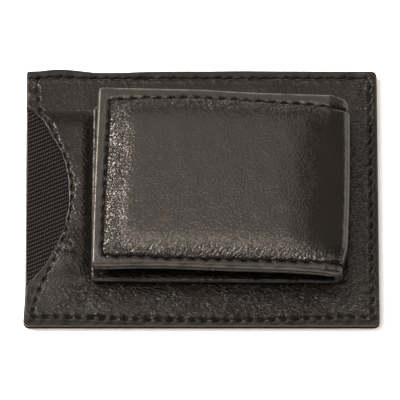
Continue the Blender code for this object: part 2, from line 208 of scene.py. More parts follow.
def closedSheet(name, u, v, face, back, rim, lift=None, marks=None, finishes=(), rimFinish=0):
    # A sheet with a worked face, an edge of rounded steps, and a back. u and v are places on the flat
    # sheet, face and back are heights, and each step of the rim is how far out it stands and how far
    # it has gone from the face's edge to the back's. A back that is one height is made of long strips.
    rows, columns = u.shape
    ring = perimeter(rows, columns)
    edgeU, edgeV = u.ravel()[ring], v.ravel()[ring]
    du, dv = np.roll(edgeU, -1) - np.roll(edgeU, 1), np.roll(edgeV, -1) - np.roll(edgeV, 1)
    handed = math.copysign(1, np.sum(edgeU * np.roll(edgeV, -1) - np.roll(edgeU, -1) * edgeV))
    length = np.maximum(np.hypot(du, dv), 1e-9) * handed
    outU, outV = dv / length, -du / length
    faceEdge = face.ravel()[ring]
    backGrid = np.ndim(back) == 2
    backEdge = back.ravel()[ring] if backGrid else np.broadcast_to(back, faceEdge.shape)

    places = [np.column_stack([u.ravel(), v.ravel(), face.ravel()])]
    maps = [np.column_stack([u.ravel(), v.ravel()])]
    reach = 0.0
    last = (0.0, faceEdge)
    for outset, share in rim:
        heights = mix(faceEdge, backEdge, share)
        places.append(np.column_stack([edgeU + outU * outset, edgeV + outV * outset, heights]))
        reach = reach + np.hypot(outset - last[0], heights - last[1])
        maps.append(np.column_stack([edgeU + outU * reach, edgeV + outV * reach]))
        last = (outset, heights)
    if backGrid:
        places.append(np.column_stack([u.ravel(), v.ravel(), back.ravel()]))
        maps.append(np.column_stack([u.ravel(), v.ravel()]))

    grid = np.arange(rows * columns).reshape(rows, columns)
    quads = np.stack([grid[:-1, :-1], grid[:-1, 1:], grid[1:, 1:], grid[1:, :-1]], axis=-1).reshape(-1, 4)
    faces = quads.tolist()
    kinds = [0] * len(faces)
    count = len(ring)
    base = rows * columns
    rings = [ring] + [base + count * step + np.arange(count) for step in range(len(rim))]
    if backGrid:
        behind = base + count * len(rim)
        rings.append(behind + ring)
        faces += (behind + quads).tolist()
        kinds += [0] * len(quads)
    for upper, lower in zip(rings, rings[1:]):
        wall = np.stack([upper, lower, np.roll(lower, -1), np.roll(upper, -1)], axis=-1)
        faces += wall.tolist()
        kinds += [rimFinish] * count
    if not backGrid:
        foot = rings[-1].tolist()
        right = foot[columns - 1: columns - 1 + rows]
        left = [foot[-row] for row in range(rows)]
        faces.append(foot[:columns] + [right[1], left[1]])
        faces += [[left[row], right[row], right[row + 1], left[row + 1]] for row in range(1, rows - 2)]
        farEnd = columns + rows - 2
        faces.append([left[-2], right[-2]] + foot[farEnd: farEnd + columns])
        kinds += [0] * (rows - 1)

    places, maps = np.vstack(places), np.vstack(maps)
    if lift is not None:
        places = np.column_stack(lift(*places.T))
    mesh = bpy.data.meshes.new(name)
    mesh.from_pydata((places * millimetre).tolist(), [], faces)
    mesh.polygons.foreach_set("material_index", kinds)
    for mark, values in (marks or {}).items():
        flat = values.ravel()
        whole = np.concatenate([flat] + [flat[ring]] * len(rim) + ([flat] if backGrid else []))
        attribute = mesh.attributes.new(mark, "FLOAT", "POINT")
        attribute.data.foreach_set("value", whole.astype(np.float32))
    return finishMesh(name, mesh, maps, finishes)


def finishMesh(name, mesh, maps, finishes, crease=50):
    # Normals outward, a map in millimetres for the grain, smooth shading, and the materials
    shape = bmesh.new()
    shape.from_mesh(mesh)
    bmesh.ops.recalc_face_normals(shape, faces=shape.faces[:])
    shape.to_mesh(mesh)
    shape.free()
    corners = np.zeros(len(mesh.loops), int)
    mesh.loops.foreach_get("vertex_index", corners)
    layer = mesh.uv_layers.new(name="hide")
    layer.data.foreach_set("uv", maps[corners].ravel())
    mesh.shade_smooth()
    mesh.set_sharp_from_angle(angle=math.radians(crease))
    for finish in finishes:
        mesh.materials.append(finish)
    piece = bpy.data.objects.new(name, mesh)
    bpy.context.scene.collection.objects.link(piece)
    return piece


# Materials

def hexColour(code):
    # sRGB hex to the linear colour that the shader wants
    values = [int(code[i:i + 2], 16) / 255 for i in (0, 2, 4)]
    return (*[c / 12.92 if c <= 0.04045 else ((c + 0.055) / 1.055) ** 2.4 for c in values], 1)


def addNode(tree, kind, inputs=(), out=0, **settings):
    # Adds one node with its settings, links or sets its inputs, which come in order or by name, and
    # hands back one of its outputs. A Mix node has its share at 0, numbers at 2 and 3, colours at 6 and 7.
    made = tree.nodes.new("ShaderNode" + kind)
    for setting, value in settings.items():
        setattr(made, setting, value)
    for socket, value in inputs.items() if isinstance(inputs, dict) else enumerate(inputs):
        if isinstance(value, bpy.types.NodeSocket):
            tree.links.new(value, made.inputs[socket])
        else:
            made.inputs[socket].default_value = value
    return made.outputs[out]


def startMaterial(name):
    # A new material with its tree, its shader and the piece's own map in millimetres
    material = bpy.data.materials.new(name)
    material.use_nodes = True
    tree = material.node_tree
    return material, tree, tree.nodes["Principled BSDF"], addNode(tree, "TexCoord", out="UV")


def colourAndRelief(tree, shader, share, height, look):
    # Two colours mixed by a pattern, and the pattern's own relief
    colours = {0: share, 6: hexColour(look["dark"]), 7: hexColour(look["light"])}
    tree.links.new(addNode(tree, "Mix", colours, 2, data_type="RGBA"), shader.inputs["Base Color"])
    relief = {"Height": height, "Strength": 1.0, "Distance": look["depth"] * millimetre}
    tree.links.new(addNode(tree, "Bump", relief), shader.inputs["Normal"])


def leather(name, look):
    # Dyed leather: pebbled grain with pores, creases where the hide was worked, a mottled dye, and a
    # satin finish that catches light on every pebble
    material, tree, shader, where = startMaterial(name)
    wander = {"Vector": where, "Scale": 1 / look["wanderSpan"], "Detail": 2.0}
    wander = addNode(tree, "TexNoise", wander, "Color")
    offset = addNode(tree, "VectorMath", (wander, (look["wander"],) * 3), operation="MULTIPLY")
    hide = addNode(tree, "VectorMath", (where, offset), operation="ADD")

    turned = {"Vector": hide, "Rotation": (0, 0, math.radians(look["grainHeading"]))}
    turned["Scale"] = look["grainStretch"]
    stretched = addNode(tree, "Mapping", turned, vector_type="TEXTURE")
    cells = {"Vector": stretched, "Scale": 1 / look["grain"], "Smoothness": look["pebbleSoft"]}
    cells = addNode(tree, "TexVoronoi", cells, "Distance", feature="SMOOTH_F1")
    pebble = addNode(tree, "MapRange", (cells, *look["pebbleRange"], 1.0, 0.0))
    pores = addNode(tree, "TexNoise", {"Vector": stretched, "Scale": 1 / look["pore"], "Detail": 3.0})
    height = addNode(tree, "Math", (pebble, look["pebbleShare"]), operation="MULTIPLY")
    poreHeight = addNode(tree, "Math", (pores, look["poreShare"]), operation="MULTIPLY")
    height = addNode(tree, "Math", (height, poreHeight), operation="ADD")

    crease = None
    for mark, heading, span, runLength, share in look["creases"]:
        laid = {"Vector": hide, "Rotation": (0, 0, math.radians(heading)), "Scale": (runLength, span, 1)}
        laid = addNode(tree, "Mapping", laid, vector_type="TEXTURE")
        ripple = addNode(tree, "TexNoise", {"Vector": laid, "Scale": 1.0, "Detail": 1.0})
        ridge = addNode(tree, "MapRange", (ripple, *look["creaseRange"]))
        amount = addNode(tree, "Attribute", out="Fac", attribute_name=mark)
        marked = addNode(tree, "Math", (ridge, amount), operation="MULTIPLY")
        part = addNode(tree, "Math", (marked, share), operation="MULTIPLY")
        height = addNode(tree, "Math", (height, part), operation="ADD")
        crease = part if crease is None else addNode(tree, "Math", (crease, part), operation="ADD")

    mottle = addNode(tree, "TexNoise", {"Vector": hide, "Scale": 1 / look["mottle"], "Detail": 4.0})
    cloud = addNode(tree, "MapRange", (mottle, *look["mottleRange"]))
    dye = {0: cloud, 6: hexColour(look["cool"]), 7: hexColour(look["warm"])}
    dye = addNode(tree, "Mix", dye, 2, data_type="RGBA")
    depth = addNode(tree, "MapRange", (pebble, 0.0, look["poreTop"], look["poreDark"], 1.0))
    deepened = addNode(tree, "Mix", {0: 1.0, 6: dye, 7: depth}, 2, data_type="RGBA", blend_type="MULTIPLY")
    # Where marked, the ink colour takes over: real edge ink, and painted shade in needle holes, thread
    # channels, a corner and the lower leaf; hems and seam margins are darkened the same way
    inkAndShadeMask = addNode(tree, "Attribute", out="Fac", attribute_name="inkedAndShaded")
    inkedAndShaded = addNode(tree, "Mix", {0: inkAndShadeMask, 6: deepened, 7: hexColour(look["inkAndShade"])}, 2, data_type="RGBA")
    # Where marked, the worn tone comes in: real wear on rubbed edges, and on the strap a painted highlight
    # along its edge lines
    wearAndHighlightMask = addNode(tree, "Attribute", out="Fac", attribute_name="wearAndHighlight")
    creasePale = addNode(tree, "Math", (crease, look["creasePale"]), operation="MULTIPLY")
    paled = addNode(tree, "Math", (wearAndHighlightMask, creasePale), operation="ADD")
    colour = addNode(tree, "Mix", {0: paled, 6: inkedAndShaded, 7: hexColour(look["wornAndHighlight"])}, 2, data_type="RGBA")
    tree.links.new(colour, shader.inputs["Base Color"])

    gloss = addNode(tree, "MapRange", (pores, *look["poreRange"], *look["gloss"]))
    dulled = addNode(tree, "Mix", {0: inkAndShadeMask, 2: gloss, 3: look["inkAndShadeGloss"]})
    # Seen at a low angle the pebbles overlap, so the finish looks softer there
    facing = addNode(tree, "LayerWeight", {"Blend": 0.5}, "Facing")
    lowAngle = addNode(tree, "MapRange", (facing, *look["lowAngle"]))
    softened = addNode(tree, "Mix", {0: lowAngle, 2: dulled, 3: look["lowGloss"]})
    tree.links.new(softened, shader.inputs["Roughness"])
    shader.inputs["IOR"].default_value = 1.5  # a lacquer's
    shader.inputs["Specular IOR Level"].default_value = look["specular"]
    shader.inputs["Specular Tint"].default_value = hexColour(look["sheen"])
    # Rubbing polishes the grain away, and pulling the leather smooth flattens it
    polish = addNode(tree, "MapRange", (wearAndHighlightMask, 0.0, look["rubbedFlat"], 1.0, look["rubbedGrain"]))
    taut = addNode(tree, "Attribute", out="Fac", attribute_name="taut")
    smoothed = addNode(tree, "MapRange", (taut, 0.0, 1.0, 1.0, look["tautGrain"]))
    polish = addNode(tree, "Math", (polish, smoothed), operation="MULTIPLY")
    relief = {"Height": height, "Strength": polish, "Distance": look["grainDepth"] * millimetre}
    tree.links.new(addNode(tree, "Bump", relief), shader.inputs["Normal"])
    return material


onePerMillimetre = fullTurn / 20  # the wave texture's scale that draws one band each millimetre


def ribbedTwill(name, look):
    # Twill: slanting ribs crossed by upright threads
    material, tree, shader, where = startMaterial(name)
    bands = []
    for heading, pitch in (look["ribs"], look["threads"]):
        laid = addNode(tree, "Mapping", {"Vector": where, "Rotation": (0, 0, -math.radians(heading))})
        wave = {"Vector": laid, "Scale": onePerMillimetre / pitch, "Distortion": look["unevenness"]}
        wave.update({"Detail": 1.0, "Detail Scale": 2.0})
        bands.append(addNode(tree, "TexWave", wave, "Fac", bands_direction="Y"))
    carried = addNode(tree, "Math", (bands[1], look["float"]), operation="ADD")
    crossed = addNode(tree, "Math", (bands[0], carried), operation="MULTIPLY")
    height = addNode(tree, "MapRange", (crossed, look["gapTop"], look["ribTop"] + look["float"]))
    colourAndRelief(tree, shader, height, height, look)
    shader.inputs["Roughness"].default_value = look["gloss"]
    shader.inputs["Specular IOR Level"].default_value = look["specular"]
    return material


def wovenCloth(name, look):
    # Plain weave: threads over and under at right angles
    material, tree, shader, where = startMaterial(name)
    wave = {"Vector": where, "Scale": onePerMillimetre / look["thread"]}
    bands = [addNode(tree, "TexWave", wave, "Fac", bands_direction=direction) for direction in ("X", "Y")]
    height = addNode(tree, "Math", bands, operation="MAXIMUM")
    colourAndRelief(tree, shader, height, height, look)
    shader.inputs["Roughness"].default_value = look["gloss"]
    return material


def grainedSolid(name, look):
    # Thread, foam, fibre board, plating and edge ink: two close colours worked by fine noise
    material, tree, shader, where = startMaterial(name)
    source = addNode(tree, "TexCoord", out="Object") if look.get("solid") else where
    unit = 1 / millimetre if look.get("solid") else 1
    stretched = addNode(tree, "Mapping", {"Vector": source, "Scale": look.get("stretch", (1, 1, 1))})
    speckle = addNode(tree, "TexNoise", {"Vector": stretched, "Scale": unit / look["grain"], "Detail": 3.0})
    middle = (0.3, 0.7)  # what the noise mostly keeps to
    colourAndRelief(tree, shader, addNode(tree, "MapRange", (speckle, *middle)), speckle, look)
    gloss = addNode(tree, "MapRange", (speckle, *middle, *look["gloss"]))
    tree.links.new(gloss, shader.inputs["Roughness"])
    shader.inputs["Metallic"].default_value = look.get("metallic", 0.0)
    shader.inputs["Specular IOR Level"].default_value = look.get("specular", 0.4)
    return material


# Full-grain nappa, drum dyed and finished in a thin satin lacquer: near black with a warm cast, and a
# highlight that the pebbles break up
nappaLook = {
    "cool": "0F0D0B",
    "warm": "130E0B",
    "wornAndHighlight": "3A3531",
    # colour and roughness of edge ink, also used for painted shade
    "inkAndShade": "090807",
    "inkAndShadeGloss": 0.75,
    "grain": 0.6,  # millimetres across a pebble, about twice a real one's, which is too fine to show
    "grainHeading": -15,
    "grainStretch": (1.2, 0.9, 1.0),
    "grainDepth": 0.1,
    "pebbleSoft": 0.25,
    "pebbleRange": (0.05, 0.65),  # distances from a pebble's middle between which it falls to its gap
    "pebbleShare": 0.6,
    "pore": 0.5,  # drawn coarser too
    "poreShare": 0.5,
    "poreRange": (0.3, 0.7),
    "poreDark": 0.72,  # what is left of the colour in the gaps, up to this height
    "poreTop": 0.7,
    "wander": 1.2,  # how far the pattern strays, in millimetres, and over what span
    "wanderSpan": 5.0,
    "creaseRange": (0.36, 0.6),
    "creasePale": 0.06,  # how far a crease is rubbed paler
    "rubbedGrain": 0.2,  # how much of the grain is left where it is worn this far
    "rubbedFlat": 0.5,
    "tautGrain": 0.7,  # how much of it is left where the leather is pulled smooth
    "mottle": 7.0,
    "mottleRange": (0.35, 0.65),
    "gloss": (0.14, 0.25),
    "lowGloss": 0.48,  # roughness at a low angle, and between which angles it comes in
    "lowAngle": (0.2, 0.7),
    "specular": 0.19,
    "sheen": "FFF4EB",  # the brown finish warms what it mirrors
    # Where creases are marked, heading in degrees, width and length in millimetres, and strength
    "creases": (
        ("worked", -26, 0.5, 1.7, 2.5),
        ("bent", -50, 0.45, 3.6, 3.0),
        ("streaked", 2, 0.42, 2.6, 1.3),
    ),
}
drumDyedNappa = leather("drumDyedNappa", nappaLook)

# The same hide stretched over foam: a little browner, and paler along its edges, partly as wear and partly as
# a painted highlight
paddedLook = {
    **nappaLook,
    "cool": "12100E",
    "warm": "17110E",
    "wornAndHighlight": "4E4842",
    "grainHeading": -38,
    "grainStretch": (1.3, 0.85, 1.0),
    "grainDepth": 0.08,
    "creasePale": 0.0,
    "gloss": (0.15, 0.24),
    "specular": 0.34,
    "creases": (("worked", -52, 0.5, 1.0, 3.2),),
}
paddedNappa = leather("paddedNappa", paddedLook)

# Thin split leather, dyed black: it keeps the strap's inside dark; its rolled edge is paler, partly wear and
# partly a painted highlight, with a dull gleam
liningLook = {
    **nappaLook,
    "cool": "060505",
    "warm": "080707",
    "wornAndHighlight": "2A2826",
    "creasePale": 0.0,
    "specular": 0.14,
    "creases": (("worked", 0, 0.5, 1.2, 0.8),),
}
liningLeather = leather("liningLeather", liningLook)

# Edge ink, brushed on the cut leather: a flat black line with hardly any shine
inkedEdge = grainedSolid(
    "inkedEdge",
    {"dark": "050404", "light": "0D0C0B", "grain": 0.9, "gloss": (0.5, 0.7), "depth": 0.05, "specular": 0.12},
)

# Woven polyester twill: slanting rows of plump brown lozenges with dark gaps between
twillLook = {
    "ribs": (23.9, 1.13),  # heading in degrees and pitch in millimetres
    "threads": (85.9, 0.63),
    "unevenness": 0.5,
    "float": 0.45,  # how far the ribs carry on between the threads
    "gapTop": 0.3,
    "ribTop": 0.75,
    "dark": "020202",
    "light": "483A3C",
    "depth": 0.55,
    "gloss": 0.6,
    "specular": 0.06,
}
ribbedPolyester = ribbedTwill("ribbedPolyesterTwill", twillLook)

# Plain-woven polyester: flat, matt and even, with its threads 0.35 mm apart
liningCloth = wovenCloth(
    "plainWeaveLining", {"thread": 0.35, "dark": "0A0909", "light": "1C1A1A", "depth": 0.04, "gloss": 0.9}
)

# Bonded polyester thread: black and dull, so that a seam reads as a row of dark dashes
threadFinish = {"dark": "030303", "light": "080707", "gloss": (0.5, 0.7), "specular": 0.08, "depth": 0.02}
bondedThread = grainedSolid("bondedPolyesterThread", {**threadFinish, "grain": 0.2, "stretch": (1, 0.25, 1)})

# Closed-cell foam, cut from a sheet: matt grey with fine cells
cellFoam = grainedSolid(
    "closedCellFoam",
    {"dark": "151515", "light": "2C2C2C", "grain": 0.35, "gloss": (0.9, 1.0), "depth": 0.08, "solid": True},
)

# Pressed fibre board: matt warm grey, flecked by its fibres
fibreBoard = grainedSolid(
    "pressedFibreBoard",
    {"dark": "5C5852", "light": "827C74", "grain": 0.8, "gloss": (0.8, 0.95), "depth": 0.04, "solid": True},
)

# Steel, nickel plated: bright and slightly warm, with a soft shine
plateLook = {"dark": "B8B4AC", "light": "C8C4BC", "grain": 0.6, "gloss": (0.22, 0.34), "depth": 0.004}
nickelPlate = grainedSolid("nickelPlatedMagnet", {**plateLook, "metallic": 1.0, "solid": True})
print("materials made")


# The sewn body

bodyShape = {
    "rightLean": (0.08, 0.42),  # how far the right edge stands out at the top and at the bottom
    # How far the top edge stands above a straight one, along it, and how far down that is felt
    "topRise": (
        (-51.5, 0.6), (-50.2, 0.62), (-46.8, 0.78), (-43.3, 1.2), (-39.8, 1.22), (-36.3, 0.9),
        (-32.9, 0.5), (-29.4, 0.1), (-25.9, 0.12), (-22.0, 0.25), (-18.0, 0.5), (-12.0, 0.6),
        (-5.0, 0.66), (2.0, 0.66), (12.0, 0.76), (23.0, 0.68), (44.0, 0.62), (52.0, 0.66),
    ),
    "riseReach": 8,
    "topLeftCorner": 0.55,
    "footFlare": (-39.0, -28.0, 0.5),  # between these heights the left edge spreads by this much
    "notchSoftness": 0.3,  # how far the notch's two ends are rounded off
    "notch": (
        (-52.4, 30.1), (-50.6, 28.3), (-46.5, 24.2), (-44.7, 20.9), (-43.4, 18.5), (-41.9, 16.0),
        (-40.7, 13.6), (-39.8, 10.8), (-39.1, 7.5), (-38.65, 4.6), (-38.4, 0.0), (-38.6, -3.4),
        (-39.2, -6.8), (-39.8, -9.5), (-40.7, -12.1), (-41.7, -14.2), (-43.0, -16.6), (-43.9, -18.8),
        (-45.1, -20.8), (-47.0, -22.9), (-49.4, -25.6), (-50.6, -27.3), (-51.9, -29.0),
    ),
}
bodySeam = {
    "stitch": 3.28,
    "topInset": 1.65,
    "rightInset": 1.87,
    "bottomPlaces": (-50.8, -41.6, -22.4, -1.9, 16.4, 30.0, 42.7, 50.8),
    "bottomInsets": (2.35, 2.35, 1.7, 1.15, 1.3, 1.8, 2.35, 2.35),
    "turn": 1.2,
    "sideFoot": 3.6,  # height above the bottom edge where its right run ends
    "start": 0.7,
    "overrun": 0.6,  # how much further left the bottom run goes than the top one
    "topBow": (-41.0, 5.5, 0.45),  # where, how wide and how high it follows the top edge's bow
    "fade": (0.1, 0.8),  # how far in from the edge its relief comes in
    "channel": 0.2,
    "channelWidth": 0.42,
    "hole": 0.4,
    "holeWidth": 0.42,
    "holeShare": 0.62,  # the dimples are longer along the seam than across it
    "pucker": 0.15,
    "lean": 0.11,  # how far a stitch lies askew, for each millimetre along
    "scallop": 0.0,  # how far the middle of each stitch bows to the left of the seam's heading
    "visible": 0.86,  # share of each stitch whose thread shows
    "channelShade": 0.7,  # how dark the leather is painted along the thread's channel, as painted shade
    "rise": -0.12,
    "knot": 0.0,
    "threadShare": 1.0,  # thickness of its thread, as a share of the heaviest
    "swell": 0.16,
    "swellAt": 1.0,
    "swellWidth": 0.55,
    "swellAtHole": 0.25,  # what is left of the swelling beside a needle hole
}
sideSeam = {
    **bodySeam,
    "channel": 0.34,
    "channelWidth": 0.36,
    "hole": 0.08,
    "lean": -0.4,
    "visible": 0.55,
    "channelShade": 1.0,
    "rise": -0.16,
    "swell": 0.1,
}
sunkSeam = {
    **bodySeam,
    "channel": 0.12,
    "channelWidth": 0.28,
    "hole": 0.6,
    "holeWidth": 0.5,
    "holeShare": 0.8,
    "pucker": 0.25,
    "channelShade": 0.35,
    "rise": -0.38,
    "knot": 0.85,  # the thread bunches where it goes down its holes
}
notchSeam = {
    **sunkSeam,
    "channel": 0.03,
    "channelShade": 0.0,
    "rise": -0.56,
    "knot": 1.1,
    "hole": 0.55,
    "holeWidth": 0.46,
    "pucker": 0.35,
    "swell": 0.02,
    "points": (
        (-47.7, 36.9), (-47.5, 32.4), (-46.7, 26.9), (-43.4, 22.0), (-40.8, 15.6), (-38.6, 10.0),
        (-37.3, 4.0), (-37.6, -2.5), (-38.7, -8.6), (-40.8, -15.8), (-43.6, -21.8), (-46.6, -28.1),
        (-48.2, -33.2), (-48.6, -35.8),
    ),
}
frontSeam = {**bodySeam, "channel": 0.3, "hole": 0.05, "swell": 0.0}
frontThread = {**bodySeam, "rise": -0.3, "lean": 0.04}

notchCurve = smoothPath(bodyShape["notch"])[::-1]
topCurve = smoothPath(bodyShape["topRise"], 0.5)


def plainLeft(y):
    flareLow, flareHigh, flare = bodyShape["footFlare"]
    return bodyLeft - flare * (1 - ease(y, flareLow, flareHigh))


def leftEdge(y):
    # The left edge with the notch cut into it
    straight = plainLeft(y)
    notch = np.interp(y, notchCurve[:, 1], notchCurve[:, 0])
    soft = bodyShape["notchSoftness"]
    share = np.clip(0.5 + (notch - straight) / (2 * soft), 0, 1)
    return mix(straight, notch, share) + soft * share * (1 - share)


def rightEdge(y):
    upper, lower = bodyShape["rightLean"]
    return bodyRight + mix(lower, upper, (y - bodyLow) / body["height"])


def topBow(x, y):
    return np.interp(x, topCurve[:, 0], topCurve[:, 1]) * ease(y, bodyHigh - bodyShape["riseReach"], bodyHigh)


def bodyGrid(left, right, low, high, fine, coarse, inset=0.0, roundTop=True):
    # Places over the body between its edges, with the corners rounded. They stand close together
    # within 3.4 mm of the upper and lower edges and 5 mm of the sides, and rows closer than columns.
    y = low + stations(high - low, fine, coarse * 0.8, 3.4)
    share = stations(body["width"], fine, coarse, 5.0) / body["width"]
    lowCut = roundedEdge(y - low, body["corner"])
    leftCut = np.maximum(lowCut, roundedEdge(high - y, bodyShape["topLeftCorner"]) * roundTop)
    rightCut = np.maximum(lowCut, roundedEdge(high - y, body["corner"]) * roundTop)
    x0, x1 = left(y) + inset + leftCut, right(y) - inset - rightCut
    u = x0[:, None] + (x1 - x0)[:, None] * share
    v = np.broadcast_to(y[:, None], u.shape)
    v = v + topBow(u, v) * (high > bodyHigh - 3)  # only what reaches the top follows its rise
    fromSides = np.minimum(u - x0[:, None], x1[:, None] - u)
    edge = np.minimum(fromSides, np.minimum(v - low, high + topBow(u, v) - v))
    return u, v, np.maximum(edge, 0)


def edgeSeamPath():
    # Along the top from the left, down the right side, and back along the bottom
    look = bodySeam
    y = bodyHigh - look["topInset"]
    x = bodyRight - look["rightInset"]
    turn = look["turn"]
    bottomX = np.linspace(x - turn, bodyLeft + look["start"] - look["overrun"], 40)
    bottomY = bodyLow + np.interp(bottomX, look["bottomPlaces"], look["bottomInsets"])
    topX = np.linspace(bodyLeft + look["start"], x - turn, 40)
    place, spread, height = look["topBow"]
    top = [(px, y + height * math.exp(-(((px - place) / spread) ** 2))) for px in topX]
    sideY = np.linspace(y - turn, bodyLow + look["sideFoot"], 24)
    side = [(rightEdge(py) - look["rightInset"], py) for py in sideY]
    return smoothPath([*top, *side, *zip(bottomX, bottomY)])


edgePath = edgeSeamPath()
notchPath = smoothPath(notchSeam["points"])
cornerShift = 10  # in steps of a tenth of a millimetre, how far past each corner the next kind begins
topEnd = int(np.argmax(edgePath[:, 0] + edgePath[:, 1])) + cornerShift
sideEnd = int(np.argmax(edgePath[:, 0] - edgePath[:, 1])) - cornerShift
bodySeams = (
    (edgePath[:topEnd + 1], bodySeam),
    (edgePath[topEnd:sideEnd + 1], sideSeam),
    (edgePath[sideEnd:], sunkSeam),
    (notchPath, notchSeam),
)


# How far the rear leather stands up beside the clip, which holds it down. The pairs are distances
# from the clip's edges between which that comes in or goes out.
rearSwell = {
    "left": 1.2,
    "leftReach": (-1.1, 3.8),
    "leftFoot": (-1.0, 7.0),
    "leftHead": (-7.0, 0.0),
    "front": 0.35,
    "frontReach": (-0.6, 4.5),
    "frontStart": (-3.0, 3.0),
    "frontStop": (0.0, 8.0),
    "behind": 0.14,  # behind it and at its right, where the leather only falls to the edge
    "behindReach": (-4.0, 0.0),
    "foldGap": 0.6,
    "seamReach": (-0.8, 3.2),  # the same from the body's own seam
}


def swell(u, v, fromSeam):
    look = rearSwell
    pivotX, pivotY = strap["pivot"]
    turn = strap["baseTurn"]
    x, y = u - pivotX, v - pivotY
    along = x * math.cos(turn) + y * math.sin(turn)
    across = -x * math.sin(turn) + y * math.cos(turn)
    left = look["left"] * ease(-strap["baseLength"] - along, *look["leftReach"])
    left = left * ease(across + halfStrap, *look["leftFoot"])
    left = left * (1 - ease(across - halfStrap, *look["leftHead"]))
    front = look["front"] * ease(-halfStrap - across, *look["frontReach"])
    front = front * ease(along + strap["baseLength"], *look["frontStart"])
    front = front * (1 - ease(along, *look["frontStop"]))
    pastFold = along - strap["foldRadius"] - look["foldGap"]
    clear = ease(np.maximum(across - halfStrap, pastFold), *look["behindReach"])
    rise = np.maximum(np.maximum(left, front), look["behind"] * clear)
    return rise * ease(fromSeam, *look["seamReach"])


# The pairs are places, or distances from an edge or a seam, between which something comes in
rearLook = {
    "fine": 0.19,  # spacing of its points near its edges, and further in
    "coarse": 0.42,
    "thickness": 0.72,
    "thinnest": 0.05,
    "rim": ((0.03, 0.3), (0.03, 0.65), (-0.04, 0.88), (-0.14, 1.0)),
    "edgeRound": 0.4,
    "edgeFall": 0.75,  # how far a sewn edge falls, as a share of a full round
    "notchEdge": {"width": 0.4, "slope": 0.38, "round": 0.1},
    "notchLow": (-16, -4),  # the notch's edge is worn between these heights, and this far in
    "notchHigh": (27, 29),
    "notchRim": (1.5, 3.0),
    "rightSide": (44, 47),
    "waves": (0.1, 22, 3),  # height, span and seed
    "wavesReach": (0, 6),
    "marginWaves": (0.08, 4.5, 5),
    "marginBand": (1.5, 4),
    "marginRim": (0, 0.6),
    "marginFall": (0.3, 0.42),  # how far it falls outside its seam, and how far at the right
    "marginReach": (0.2, 2.0),
    # Edge ink on the edge to the right of a place and on the edge away from the notch; painted shade in holes
    # deeper than this, along the thread's channel and in the lower left corner; and the leather darker
    # outside the seam
    "edgeInk": 0.5,
    "edgeInkFrom": -36,
    "sewnInk": 0.2,
    "edgeInkReach": (0.3, 0.9),
    "shadedHoleDepth": 0.2,
    "channelShadeWidth": 0.33,
    "cornerShade": 0.35,
    "cornerLeft": (35, 38),
    "cornerLow": (16, 22),
    "marginDark": (0.8, 0.25),
    "marginDarkReach": (0.1, 0.9),
    # Creases: worked in below the clip, at the far right and beside the clip
    "belowTop": (-27.5, -25.5),
    "belowFoot": (-38.4, -36.0),
    "belowLeft": (-47, -38),
    "belowFaint": (0.45, 0.85),  # low down they are fainter, more so at the left
    "faintAcross": (-5, 15),
    "faintUp": (-36, -29),
    "belowDrift": (0.85, 0.2, 14, 8),  # mean, spread, span and seed
    "rightWorked": 0.5,
    "rightFrom": (47, 48.5),
    "beside": 0.25,
    "besideAt": (-33.0, 2.4),  # middle and width
    "besideLow": (-24, -16),
    "besideHigh": (20, 27),
    # Creases: bent beside the notch's lower end, streaked along the right and the bottom seams
    "bentAcross": (-37.0, 3.4),
    "bentUp": (-15.5, 8.0),
    "rightStreaks": 0.7,
    "streaksIn": (42, 45),
    "streaksOut": (47, 48),
    "lowStreaks": 0.8,
    "lowReach": (0.5, 1.2),
    "lowBelow": -30,
    "wearAndHighlight": 0.6,
    "wearReach": (0.1, 0.5),
    "wearDrift": (0.5, 0.5, 6, 11),
}


def patchy(u, v, look):
    # Strength that drifts about a mean over a span
    mean, spread, span, seed = look
    return mean + spread * drift(u, v, span, seed)


